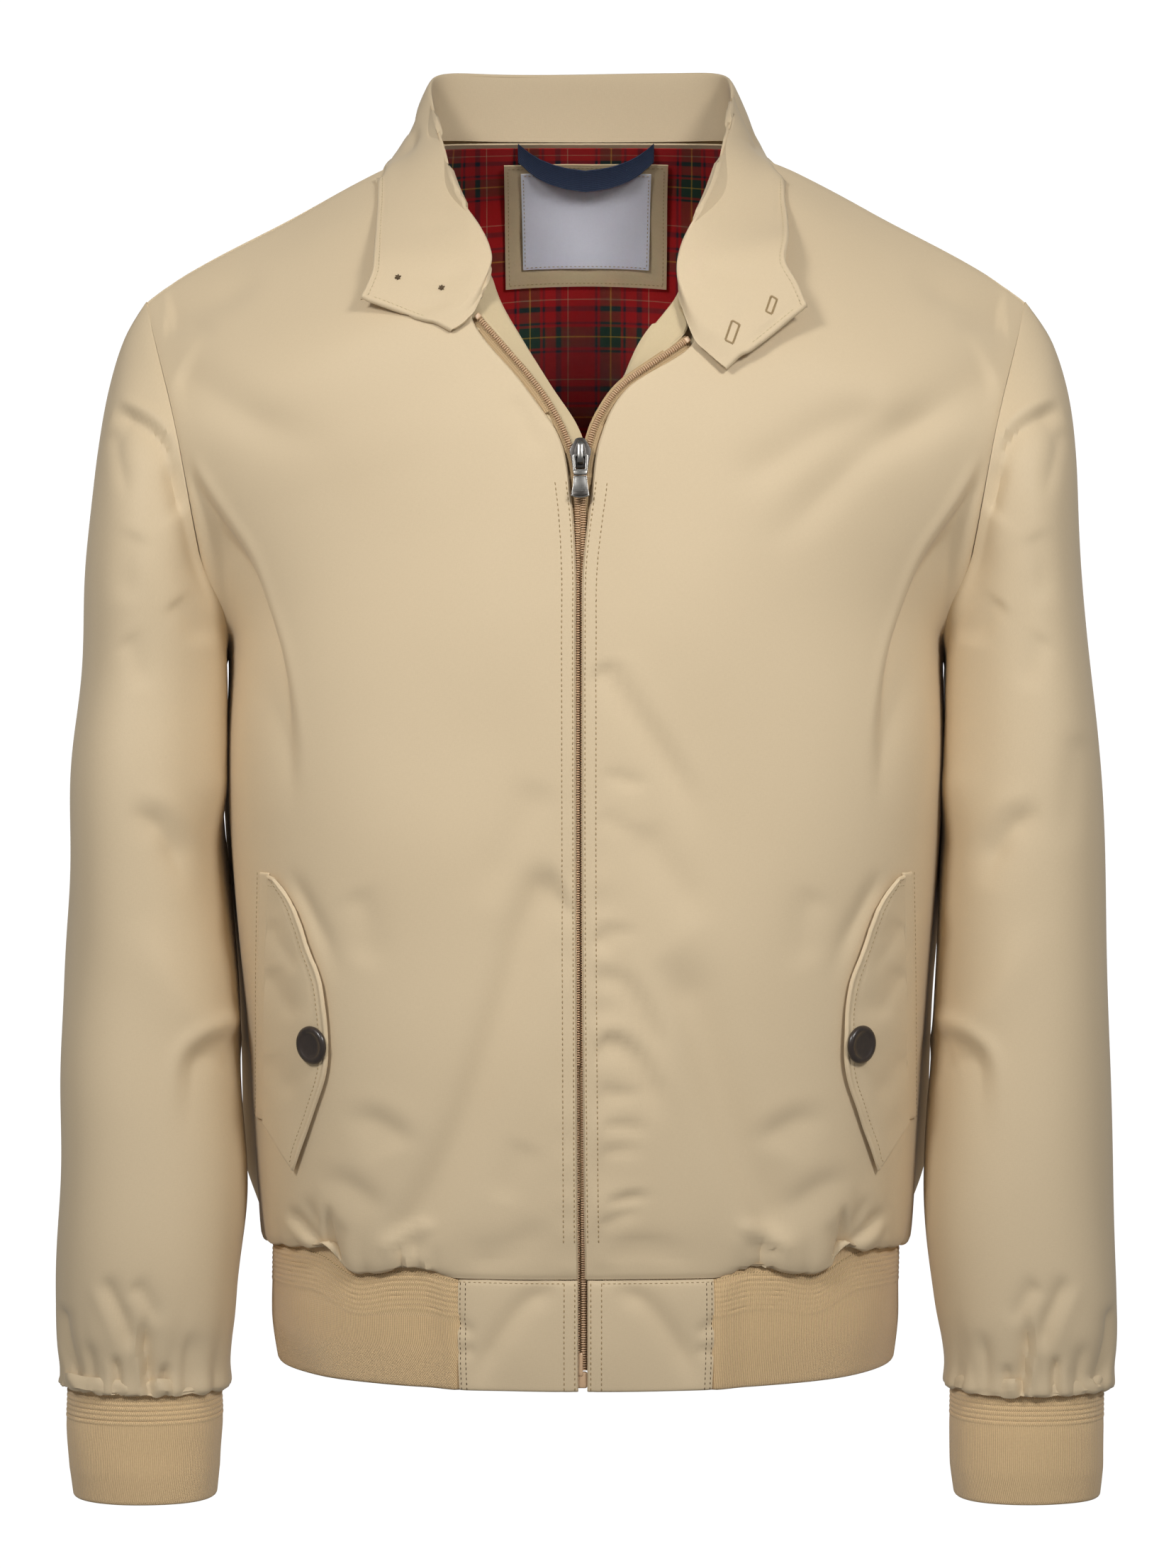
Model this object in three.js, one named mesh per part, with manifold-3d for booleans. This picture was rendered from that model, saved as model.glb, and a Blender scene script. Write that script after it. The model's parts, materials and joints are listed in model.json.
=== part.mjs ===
import * as THREE from 'three';
import { mergeVertices } from 'three/addons/utils/BufferGeometryUtils.js';
import Module from 'manifold-3d';

// A zip-front blouson jacket that keeps its worn form with no wearer in it.
// Millimetres, +Z up, the front faces -Y, so the wearer's left is +X.
// The origin is on the centre plane, at the height of the side neck points.

const cloth = { shell: 1.2, lining: 0.9, facing: 0.9, collar: 1.8, rib: 2.4, tab: 1.8, tape: 0.8, flap: 1.3 };
const seamGap = 0.35;          // clear width of every seam between two pieces
const liningDepth = 2.2;       // shell face to lining face
const facingDepth = 4.6;       // shell face to facing face, behind the zip
const rows = { underarm: 7, shoulder: 16 };          // rows of the body table that carry a name
const columns = { front: 10, back: 16, sleeve: 18 };
const tabSeam = 66;            // half width of the plain tabs at the centre front of the hem
const hem = { seam: -579.5, bottom: -638, inset: 4.5, tuck: 5 };
const cuffBottom = -706;
const zipCentre = -2.8;        // the closed zip runs slightly to the wearer's right
const chain = { width: 3.1, depth: 2.4 };

const clamp01 = (value) => Math.min(1, Math.max(0, value));
const smooth = (from, to, value) => {
  const s = clamp01((value - from) / (to - from));
  return s * s * (3 - 2 * s);
};
const mix = (from, to, amount) => from + (to - from) * amount;
const power = (value, exponent) => Math.sign(value) * Math.abs(value) ** exponent;
const radians = (degrees) => (degrees * Math.PI) / 180;
const point = (x, y, z) => new THREE.Vector3(x, y, z);

// A table with named columns, read at any row position on a smooth curve through its rows.
function table(names, lines) {
  const last = lines.length - 1;
  const line = (k) => lines[Math.max(0, Math.min(last, k))];
  return (position) => {
    const k = Math.max(0, Math.min(Math.floor(position), last - 1));
    const f = position - k;
    const value = (c) => {
      const [a, b, d, e] = [line(k - 1)[c], line(k)[c], line(k + 1)[c], line(k + 2)[c]];
      return b + 0.5 * f * (d - a + f * (2 * a - 5 * b + 4 * d - e + f * (3 * (b - d) + e - a)));
    };
    return Object.fromEntries(names.map((name, c) => [name, value(c)]));
  };
}

// ---------- cloth walls ----------

// Points of a surface(u, v) at the given u and v values, one row per v.
function gridOf(surface, uValues, vValues) {
  return vValues.map((v) => uValues.map((u) => surface(u, v)));
}

function steps(from, to, count) {
  return Array.from({ length: count + 1 }, (_, k) => mix(from, to, k / count));
}

// Unit normals at a grid's points: the mean of the unit normals of the cells that meet there.
function gridNormals(grid, outward, closed) {
  const rowCount = grid.length;
  const columnCount = grid[0].length;
  const normals = grid.map((row) => row.map(() => point(0, 0, 0)));
  for (let i = 0; i < rowCount - 1; i += 1) {
    for (let j = 0; j < columnCount - (closed ? 0 : 1); j += 1) {
      const next = (j + 1) % columnCount;
      const across = grid[i + 1][next].clone().sub(grid[i][j]);
      const back = grid[i + 1][j].clone().sub(grid[i][next]);
      const normal = across.cross(back).normalize().multiplyScalar(outward);
      for (const [a, b] of [[i, j], [i + 1, j], [i, next], [i + 1, next]]) normals[a][b].add(normal);
    }
  }
  normals.forEach((row) => row.forEach((normal) => normal.normalize()));
  return normals;
}

function moved(grid, normals, distance) {
  return grid.map((row, i) => row.map((p, j) => p.clone().addScaledVector(normals[i][j], distance)));
}

// A closed solid between two grids of the same size, the outer one and the inner one.
function solidBetween(outer, inner, outward, closed) {
  const rowCount = outer.length;
  const columnCount = outer[0].length;
  const positions = [];
  for (const p of [outer, inner].flat(2)) positions.push(p.x, p.y, p.z);
  const id = (layer, i, j) => (layer * rowCount + i) * columnCount + (j % columnCount);
  const faces = [];
  const quad = (a, b, c, d) => {
    if (outward > 0) faces.push(a, b, c, a, c, d);
    else faces.push(a, c, b, a, d, c);
  };
  const spans = columnCount - (closed ? 0 : 1);
  for (let i = 0; i < rowCount - 1; i += 1) {
    for (let j = 0; j < spans; j += 1) {
      quad(id(0, i, j), id(0, i, j + 1), id(0, i + 1, j + 1), id(0, i + 1, j));
      quad(id(1, i, j), id(1, i + 1, j), id(1, i + 1, j + 1), id(1, i, j + 1));
    }
  }
  for (let j = 0; j < spans; j += 1) {
    quad(id(0, 0, j), id(1, 0, j), id(1, 0, j + 1), id(0, 0, j + 1));
    const end = rowCount - 1;
    quad(id(0, end, j), id(0, end, j + 1), id(1, end, j + 1), id(1, end, j));
  }
  if (!closed) {
    for (let i = 0; i < rowCount - 1; i += 1) {
      quad(id(0, i, 0), id(0, i + 1, 0), id(1, i + 1, 0), id(1, i, 0));
      const end = columnCount - 1;
      quad(id(0, i, end), id(1, i, end), id(1, i + 1, end), id(0, i + 1, end));
    }
  }
  const geometry = new THREE.BufferGeometry();
  geometry.setAttribute('position', new THREE.Float32BufferAttribute(positions, 3));
  geometry.setIndex(faces);
  geometry.computeVertexNormals();
  return geometry;
}

// A wall of cloth whose outer face is the grid. seamNormals replaces the normals of edge points.
function wall(grid, thickness, outward, { closed = false, seamNormals } = {}) {
  const normals = gridNormals(grid, outward, closed);
  if (seamNormals) seamNormals(normals);
  return solidBetween(grid, moved(grid, normals, -thickness), outward, closed);
}

// ---------- body ----------

// Front sections from the hem seam up. Below the underarm a row is a level line round the body,
// above it a row runs from the front edge, then the neck seam, to the armhole.
// edge: distance of the front edge from x = 0, positive on its own side.
const frontTable = table(
  ['leftX', 'leftZ', 'rightX', 'rightZ', 'edgeY', 'turn'],
  [
    [-0.6, -579.5, 3.9, -579.5, -124, 90],
    [-0.6, -568, 4.0, -568, -126, 90],
    [-1.0, -545, 4.2, -545, -129.5, 90],
    [-1.4, -500, 4.4, -500, -132.5, 90],
    [-1.9, -435, 4.6, -435, -134.5, 90],
    [-2.2, -365, 4.8, -365, -136, 90],
    [-2.2, -305, 4.9, -305, -137.5, 90],
    [-2.1, -250, 5.0, -250, -137.5, 90],
    [-1.6, -214, 5.0, -214, -136, 73],
    [2.6, -178, 7.4, -178, -133, 62],
    [7.3, -148, 13.4, -148, -128, 54],
    [21, -122.5, 31, -121.5, -121, 48],
    [55, -98.5, 58, -87, -109, 40],
    [47.5, -73, 50, -63, -97, 34],
    [60, -44, 61, -42, -72, 28],
    [78, -13, 78, -13, -38, 24],
    [88, 4, 88, 4, -8, 20],
  ],
);

// Side seam, then armhole: frontY and backY part above the underarm row.
const sideTable = table(
  ['x', 'z', 'frontY', 'backY', 'centreBackY', 'centreBackZ'],
  [
    [172.5, -579.5, 0, 0, 119, -579.5],
    [173.8, -568, 0, 0, 121, -568],
    [176.2, -545, 0, 0, 123.5, -545],
    [178.4, -500, 0, 0, 125.5, -500],
    [183, -437, -1, -1, 126, -435],
    [188.6, -369, -2, -2, 127.5, -365],
    [191.6, -312, -4, -4, 129, -305],
    [191, -262, -5, -5, 130, -252],
    [194.5, -247, -30, 27, 130, -222],
    [199, -225, -48, 47, 130, -192],
    [203.5, -199, -60, 61, 129, -160],
    [208, -172, -66, 69, 126, -128],
    [212.5, -148, -65, 70, 121, -96],
    [217.5, -128, -55, 61, 113, -64],
    [223, -110, -40, 46, 102, -36],
    [228.5, -93, -23, 22, 86, -8],
    [234, -76, -6, -6, 63, 16],
  ],
);
const squareness = 2.3;        // exponent of the body's rounded sections
const roundness = 2 / squareness;
const neckBack = { reach: 0.42, square: 2.8 };

// Largest folds of the body: soft troughs from one point to the next in front view.
const bodyFolds = [
  { x: [206, 190, 176, 168], z: [-165, -196, -250, -330], width: 17, depth: 5 },
  { x: [196, 160, 120], z: [-128, -142, -150], width: 26, depth: 3.5 },
  { x: [160, 148, 139], z: [-560, -548, -534], width: 11, depth: 5 },
  { x: [120, 108, 92], z: [-562, -550, -530], width: 13, depth: 4 },
];

function distanceToPath(path, x, z) {
  let nearest = Infinity;
  let along = 0;
  for (let k = 0; k < path.x.length - 1; k += 1) {
    const [dx, dz] = [path.x[k + 1] - path.x[k], path.z[k + 1] - path.z[k]];
    const s = clamp01(((x - path.x[k]) * dx + (z - path.z[k]) * dz) / (dx * dx + dz * dz));
    const distance = Math.hypot(x - path.x[k] - s * dx, z - path.z[k] - s * dz);
    if (distance < nearest) [nearest, along] = [distance, (k + s) / (path.x.length - 1)];
  }
  return { nearest, along };
}

// How far the folds push a point of a panel inwards.
function foldDepth(folds, x, z) {
  return folds.reduce((total, fold) => {
    const { nearest, along } = distanceToPath(fold, Math.abs(x), z);
    const fade = 1 - 0.5 * along;
    return total + fold.depth * fade * Math.exp(-((nearest / fold.width) ** 2));
  }, 0);
}

// 0 over the plain tabs of the hem, 1 over its ribbed band.
function onRib(x, y) {
  return y > 0 ? 1 : smooth(tabSeam - 1, tabSeam + 21, Math.abs(x));
}

// Height of the gathered seam between the shell and the ribbed hem, every 20 mm from the centre.
const waveStep = 20;
const hemWave = table(
  ['front', 'back'],
  [
    [-579.5, -577],
    [-579.5, -580],
    [-579.5, -576],
    [-579, -576.5],
    [-577, -580.5],
    [-578, -578],
    [-581.5, -574.5],
    [-572.5, -579],
    [-573, -580],
    [-577, -577],
  ],
);

function seamHeight(x, y) {
  const wave = hemWave(Math.abs(x) / waveStep);
  return mix(hem.seam, mix(wave.front, wave.back, smooth(-30, 30, y)), onRib(x, y));
}

// The shell's last rows drop to the gathered seam, then turn under and in to meet the rib.
function withHem(p, v) {
  if (v >= 2) return p;
  const ribbed = onRib(p.x, p.y);
  const under = ribbed * clamp01(1 - v);
  const z = mix(p.z, seamHeight(p.x, p.y), ribbed * smooth(2, 1, v)) + hem.tuck * under;
  const shrink = 1 - (hem.inset * under) / Math.hypot(p.x, p.y);
  return point(p.x * shrink, p.y * shrink, z);
}

function frontSurface(side) {
  return (u, v) => {
    const edge = frontTable(v);
    const seam = sideTable(v);
    const edgeX = side > 0 ? edge.leftX : -edge.rightX;
    const edgeZ = side > 0 ? edge.leftZ : edge.rightZ;
    const turn = radians(edge.turn);
    const end = Math.cos(turn) ** roundness;
    const across = (Math.sin(u * turn) / Math.sin(turn)) ** roundness;
    const bulge = (Math.cos(u * turn) ** roundness - end) / (1 - end);
    const p = point(
      mix(edgeX, side * seam.x, across),
      mix(seam.frontY, edge.edgeY, bulge),
      mix(edgeZ, seam.z, across ** 1.15),
    );
    p.y += foldDepth(bodyFolds, p.x, p.z) * smooth(0, 0.3, u) * smooth(1, 0.85, u);
    return withHem(p, v);
  };
}

// The shoulder seam, from the neck to the shoulder tip: the top row of the front.
function shoulderSeam(side, s) {
  return frontSurface(side)(s, rows.shoulder);
}

function topOfBack(u) {
  const reach = Math.abs(u) / neckBack.reach;
  const side = Math.sign(u) || 1;
  if (reach > 1) return shoulderSeam(side, (Math.abs(u) - neckBack.reach) / (1 - neckBack.reach));
  const neck = shoulderSeam(side, 0);
  const centre = sideTable(rows.shoulder);
  const angle = (reach * Math.PI) / 2;
  const drop = Math.max(0, Math.cos(angle));
  return point(
    neck.x * Math.sin(angle) ** (2 / neckBack.square),
    mix(neck.y, centre.centreBackY, drop ** (2 / neckBack.square)),
    mix(neck.z, centre.centreBackZ, drop ** 0.4),
  );
}

// Shares of the way from the centre back to the side seam: of a rounded section low on the back,
// and of the neck and shoulder seams at its top.
function backShares(u) {
  const angle = (Math.abs(u) * Math.PI) / 2;
  const across = Math.sin(angle) ** roundness;
  const depth = 1 - Math.max(0, Math.cos(angle)) ** roundness;
  const top = topOfBack(Math.abs(u));
  const centre = topOfBack(0);
  const tip = topOfBack(1);
  return {
    low: [across, depth, across ** 2],
    high: [top.x / tip.x, (top.y - centre.y) / (tip.y - centre.y), (top.z - centre.z) / (tip.z - centre.z)],
  };
}

// Above the underarm the back's sections turn bit by bit into the neck and shoulder line.
function backSurface(u, v) {
  const side = Math.sign(u) || 1;
  const climb = clamp01((v - rows.underarm) / (rows.shoulder - rows.underarm)) ** 2.2;
  const { low, high } = backShares(u);
  const [x, y, z] = low.map((share, k) => mix(share, high[k], climb));
  const seam = sideTable(v);
  const p = point(
    side * seam.x * x,
    mix(seam.centreBackY, seam.backY, y),
    mix(seam.centreBackZ, seam.z, z),
  );
  return withHem(p, v);
}

// ---------- sleeves ----------

// A sleeve's sections from the armhole down: the outer and inner points of each loop and how far
// it reaches forward and back. The last two rows are the fold over the cuff and the cuff seam.
const sleeveTable = table(
  ['outerX', 'outerZ', 'innerX', 'innerZ', 'frontY', 'backY'],
  [
    [234, -76, 191, -262, -66, 68],
    [246.5, -94, 192.4, -269, -71, 73],
    [255, -119, 193, -276, -74, 75],
    [260, -152, 193.4, -284, -76, 76],
    [264, -196, 193.8, -294, -77, 76],
    [268, -246, 194, -308, -78, 74],
    [272, -308, 193.8, -332, -79, 69],
    [276, -385, 189.6, -388, -80, 61],
    [279, -466, 183.6, -466, -82, 48],
    [280.4, -546, 180, -546, -87, 30],
    [282.6, -600, 184.2, -600, -89, 12],
    [282, -625, 188, -625, -88, 2],
    [278.5, -645.5, 190.5, -645.5, -85, -6],
    [274.5, -639.5, 193.4, -639.5, -81, -9],
  ],
);
const sleeveSquare = 2.2;
const sleeveRows = 13;
const sleeveFolds = [
  { x: [252, 236, 228], z: [-132, -143, -158], width: 13, depth: 4 },
  { x: [226, 212, 209], z: [-345, -362, -374], width: 14, depth: 5 },
  { x: [232, 228, 226], z: [-612, -632, -650], width: 12, depth: 5 },
  { x: [262, 254, 249], z: [-590, -604, -618], width: 11, depth: 4 },
];

function armhole(side, turn) {
  const onFront = turn <= 0.5;
  const climb = onFront ? turn * 2 : 2 - turn * 2;
  const row = sideTable(mix(rows.underarm, rows.shoulder, climb));
  return point(side * row.x, onFront ? row.frontY : row.backY, row.z);
}

// turn runs once round the sleeve: underarm, front, outside, back.
function sleeveSurface(side) {
  const loop = (turn, v) => {
    const row = sleeveTable(v);
    const angle = turn * 2 * Math.PI;
    const out = (1 - power(Math.cos(angle), 2 / sleeveSquare)) / 2;
    const reach = power(Math.sin(angle), 2 / sleeveSquare);
    const middle = (row.frontY + row.backY) / 2;
    const depth = (row.backY - row.frontY) / 2;
    const x = mix(row.innerX, row.outerX, out);
    return point(side * x, middle - depth * reach, mix(row.innerZ, row.outerZ, out));
  };
  return (turn, v) => {
    const miss = armhole(side, turn).sub(loop(turn, 0));
    const p = loop(turn, v).addScaledVector(miss, clamp01(1 - v / 4) ** 2);
    const front = Math.max(0, Math.sin(turn * 2 * Math.PI));
    p.y += front * foldDepth(sleeveFolds, p.x, p.z);
    return p;
  };
}

// ---------- seams shared by two pieces ----------

function surfaceNormal(surface, u, v, outward, inU, inV) {
  const step = 0.02;
  const here = surface(u, v);
  const alongU = surface(u + step * inU, v).sub(here).multiplyScalar(inU);
  const alongV = surface(u, v + step * 5 * inV).sub(here).multiplyScalar(inV);
  return alongU.cross(alongV).normalize().multiplyScalar(outward);
}

function shoulderNormal(side) {
  const neck = shoulderSeam(side, 0);
  const tip = shoulderSeam(side, 1);
  return point(neck.z - tip.z, 0, tip.x - neck.x).multiplyScalar(side).normalize();
}

// Along the armhole both walls lean the same way, half way between body and sleeve, except
// under the arm, where they fold back on each other and each keeps its own normal.
function armholeNormal(side, isFront, v, onSleeve = false) {
  if (v === rows.shoulder) return shoulderNormal(side).add(point(side * 0.5, 0, 0)).normalize();
  const body = isFront
    ? surfaceNormal(frontSurface(side), 1, v, side, -1, v < rows.shoulder ? 1 : -1)
    : surfaceNormal(backSurface, side, v, -1, -side, v < rows.shoulder ? 1 : -1);
  const climb = (v - rows.underarm) / (rows.shoulder - rows.underarm);
  const turn = isFront ? climb / 2 : 1 - climb / 2;
  const sleeve = surfaceNormal(sleeveSurface(side), turn, 0, -side, turn > 0.5 ? -1 : 1, 1);
  if (body.dot(sleeve) < 0.3) return onSleeve ? sleeve : body;
  return body.add(sleeve).normalize();
}

// ---------- the pieces ----------

const jacket = new THREE.Group();
jacket.name = 'jacket';

function add(name, geometry, material) {
  const mesh = new THREE.Mesh(geometry, material);
  mesh.name = name;
  jacket.add(mesh);
  return mesh;
}

function finish(color, roughness, metalness = 0) {
  return new THREE.MeshStandardMaterial({ color, roughness, metalness });
}

const shellCloth = finish(0xcdbd98, 0.72);
const ribKnit = finish(0xbfa576, 0.9);

const bodyRows = steps(0, rows.shoulder, rows.shoulder);
const edgeTrim = (values, low, high) => {
  const trimmed = [...values];
  trimmed[0] += low;
  trimmed[trimmed.length - 1] -= high;
  return trimmed;
};

function buildFront(side) {
  const us = edgeTrim(steps(0, 1, columns.front), 0, 0.0016);
  const vs = edgeTrim(bodyRows, 0, 0.02);
  const grid = gridOf(frontSurface(side), us, vs);
  const seamNormals = (normals) => {
    const last = columns.front;
    for (let i = rows.underarm; i <= rows.shoulder; i += 1) normals[i][last] = armholeNormal(side, true, i);
    for (let i = 0; i < rows.underarm; i += 1) normals[i][last] = point(side, 0, 0);
    for (let j = 0; j < last; j += 1) normals[rows.shoulder][j] = shoulderNormal(side);
  };
  add(side > 0 ? 'front_left' : 'front_right', wall(grid, cloth.shell, side, { seamNormals }), shellCloth);
  return grid;
}

function buildBack() {
  const us = edgeTrim(steps(-1, 1, columns.back), 0.002, 0.002);
  const vs = edgeTrim(bodyRows, 0, 0.02);
  const grid = gridOf(backSurface, us, vs);
  const seamNormals = (normals) => {
    for (const [side, column] of [[-1, 0], [1, columns.back]]) {
      for (let i = rows.underarm; i <= rows.shoulder; i += 1) {
        normals[i][column] = armholeNormal(side, false, i);
      }
      for (let i = 0; i < rows.underarm; i += 1) normals[i][column] = point(side, 0, 0);
    }
    us.forEach((u, j) => {
      const inner = j > 0 && j < columns.back;
      if (inner && Math.abs(u) > neckBack.reach) normals[rows.shoulder][j] = shoulderNormal(Math.sign(u));
    });
  };
  add('back', wall(grid, cloth.shell, -1, { seamNormals }), shellCloth);
  return grid;
}

function buildSleeve(side) {
  const turns = steps(0, 1, columns.sleeve).slice(0, -1);
  const vs = edgeTrim(steps(0, sleeveRows, sleeveRows), 0.05, 0);
  const grid = gridOf(sleeveSurface(side), turns, vs);
  const seamNormals = (normals) => {
    turns.forEach((turn, j) => {
      const climb = turn <= 0.5 ? turn * 2 : 2 - turn * 2;
      normals[0][j] = armholeNormal(side, turn <= 0.5, mix(rows.underarm, rows.shoulder, climb), true);
    });
  };
  const name = side > 0 ? 'sleeve_left' : 'sleeve_right';
  add(name, wall(grid, cloth.shell, -side, { closed: true, seamNormals }), shellCloth);
  return grid;
}

const frontGrids = { left: buildFront(1), right: buildFront(-1) };
const backGrid = buildBack();
buildSleeve(1);
buildSleeve(-1);

// ---------- points on the finished panels ----------

const triangles = [];
for (const [grid, outward] of [[frontGrids.left, 1], [frontGrids.right, -1], [backGrid, -1]]) {
  for (let i = 0; i < grid.length - 1; i += 1) {
    for (let j = 0; j < grid[0].length - 1; j += 1) {
      const [a, b, c, d] = [grid[i][j], grid[i][j + 1], grid[i + 1][j + 1], grid[i + 1][j]];
      for (const corners of outward > 0 ? [[a, b, c], [a, c, d]] : [[a, c, b], [a, d, c]]) {
        triangles.push(new THREE.Triangle(...corners));
      }
    }
  }
}

// The point moved out, where needed, until it lies at least a clearance off the panels.
function clearOfBody(p, clearance) {
  let nearest = Infinity;
  let result = p;
  const foot = point(0, 0, 0);
  const normal = point(0, 0, 0);
  for (const triangle of triangles) {
    triangle.closestPointToPoint(p, foot);
    const distance = foot.distanceTo(p);
    if (distance < nearest - 1e-6) {
      nearest = distance;
      triangle.getNormal(normal);
      const height = p.clone().sub(foot).dot(normal);
      const inside = height < 0 && distance < 30;
      const near = distance < clearance;
      result = inside || near ? foot.clone().addScaledVector(normal, clearance) : p;
    }
  }
  return result;
}

// The point of the front panels seen at x, z from the front, moved out by a distance.
function onFront(x, z, distance) {
  const ray = new THREE.Ray(point(x, -400, z), point(0, 1, 0));
  const target = point(0, 0, 0);
  let best = null;
  for (const triangle of triangles) {
    if (!ray.intersectTriangle(triangle.a, triangle.b, triangle.c, false, target)) continue;
    if (best && best.y < target.y) continue;
    best = target.clone();
    best.normal = triangle.getNormal(point(0, 0, 0));
  }
  if (!best || best.y > 0) return null;
  const result = best.clone().addScaledVector(best.normal, distance);
  result.normal = best.normal;
  return result;
}

// ---------- hem and cuffs ----------

// Half width, front and back depth of the hem band from its seam down.
const hemTable = table(
  ['halfWidth', 'front', 'back', 'z'],
  [
    [172.5, -124, 119, hem.seam],
    [173.2, -124.8, 120, -592],
    [173.4, -125, 120, -615],
    [170.5, -124, 118, hem.bottom + seamGap + 0.3],
  ],
);

// turn runs from the centre front (0) by the side (0.5) to the centre back (1).
function hemPoint(side, turn, v, plain) {
  const row = hemTable(v);
  const angle = turn * Math.PI;
  const x = row.halfWidth * power(Math.sin(angle), roundness);
  const depth = power(Math.cos(angle), roundness);
  const y = depth > 0 ? row.front * depth : -row.back * depth;
  const ribbed = onRib(x, y);
  const lift = plain ? 0 : seamHeight(x, y) - hem.seam + hem.tuck * ribbed;
  const shrink = plain ? 1 : 1 - (hem.inset * ribbed) / Math.hypot(x, y);
  return point(side * x * shrink, y * shrink, row.z + lift * clamp01(1 - v / 2) - seamGap - 0.3);
}

// The part of a turn where the hem section reaches x.
function hemTurn(x) {
  return Math.asin((x / hemTable(0).halfWidth) ** (1 / roundness)) / Math.PI;
}

function buildHem() {
  const start = hemTurn(tabSeam + seamGap / 2);
  const turns = [start, ...steps(0.15, 0.5, 7), ...steps(0.5, 1, columns.back / 2).slice(1)];
  const around = [
    ...turns.map((turn) => [1, turn]),
    ...turns.slice(0, -1).reverse().map((turn) => [-1, turn]),
  ];
  const levels = steps(3, 0, 3);
  const ribGrid = levels.map((v) => around.map(([side, turn]) => hemPoint(side, turn, v, false)));
  const tabNormal = (side) => point(0.3 * side, -0.95, 0).normalize();
  const seamNormals = (normals) => normals.forEach((row) => {
    row[0] = tabNormal(1);
    row[row.length - 1] = tabNormal(-1);
  });
  add('hem_rib', wall(ribGrid, cloth.rib, 1, { seamNormals }), ribKnit);
  for (const side of [1, -1]) {
    const edge = frontTable(0);
    const from = side > 0 ? 0.0006 : hemTurn(edge.rightX);
    const values = steps(from, hemTurn(tabSeam - seamGap / 2), 4);
    const grid = levels.map((v) => values.map((turn) => hemPoint(side, turn, v, true)));
    const leaning = (normals) => normals.forEach((row) => {
      row[row.length - 1] = tabNormal(side);
    });
    const name = side > 0 ? 'hem_tab_left' : 'hem_tab_right';
    add(name, wall(grid, cloth.tab, side, { seamNormals: leaning }), shellCloth);
  }
}

function buildCuff(side) {
  const seam = sleeveTable(sleeveRows);
  const cuffRows = [
    { z: cuffBottom, grow: -2.5 },
    { z: -690, grow: -0.5 },
    { z: -668, grow: 0.3 },
    { z: seam.outerZ - seamGap, grow: 0 },
  ];
  const turns = steps(0, 1, columns.sleeve).slice(0, -1);
  const grid = cuffRows.map(({ z, grow }) => turns.map((turn) => {
    const p = sleeveSurface(side)(turn, sleeveRows);
    const middle = point((side * (seam.outerX + seam.innerX)) / 2, (seam.frontY + seam.backY) / 2, z);
    const arm = p.clone().setZ(z).sub(middle);
    return middle.addScaledVector(arm, 1 + grow / arm.length());
  }));
  const name = side > 0 ? 'cuff_left' : 'cuff_right';
  add(name, wall(grid, cloth.rib, side, { closed: true }), ribKnit);
}

// ---------- facing and lining ----------

const liningCloth = finish(0x8c1a1c, 0.6);
const frontLiningColumns = [2, 4, 6, 7, 8, 9, 10];
const facingColumn = 2;        // body column where the facing ends and the lining starts

// The facing at the zip, and its fold, row by row of the body table: above the slider the
// fronts fall open and the facing turns out to show. On the wearer's right it runs on past the
// zip as a wind flap, whose free edge is the fold.
const facingTable = {
  left: table(
    ['zipX', 'zipY', 'zipZ', 'foldX', 'foldY', 'foldZ'],
    [
      [1.5, -128, -178, 9, -127, -178],
      [3.2, -124, -148, 3.6, -118.5, -147.5],
      [19, -115.5, -120.5, 18, -109, -121],
      [51, -104.5, -95, 29, -99, -98],
      [48.5, -94, -75.5, 46.5, -93, -75],
    ],
  ),
  right: table(
    ['zipX', 'zipY', 'zipZ', 'foldX', 'foldY', 'foldZ'],
    [
      [5.6, -124.5, -178, -4, -123.5, -178],
      [9.5, -123.5, -147.5, 1.2, -119, -147.5],
      [25, -115.5, -120, 17, -110.5, -121],
      [53.5, -103.5, -83, 40.5, -96, -82],
      [50.5, -92, -64.5, 48.5, -90, -63.5],
    ],
  ),
};
const openRow = 9;             // first body row of the facing tables
const neckRow = 13;            // last body row of the facing tables

function facingEdge(side, v, inside) {
  if (v >= openRow && v <= neckRow) {
    const row = (side > 0 ? facingTable.left : facingTable.right)(v - openRow);
    const pair = [point(side * row.zipX, row.zipY, row.zipZ), point(side * row.foldX, row.foldY, row.foldZ)];
    return side > 0 ? pair : pair.reverse();
  }
  if (v > neckRow) {
    const reach = inside[0].distanceTo(inside[1]);
    return [inside[0].clone(), inside[0].clone().lerp(inside[1], 2 / reach)];
  }
  const [start, depth] = side > 0 ? [0.3, 0.8] : [-11, 2.2];
  const { y, z } = inside[0];
  return [0, 9].map((reach) => point(zipCentre + side * (start + reach), y + depth, z));
}

// Keeps the lining's top edge clear of the piece across the shoulder and neck seams.
function lowerTopEdge(grid) {
  const top = grid.length - 1;
  grid[top] = grid[top].map((p, j) => p.clone().lerp(grid[top - 1][j], 0.1));
}

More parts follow.
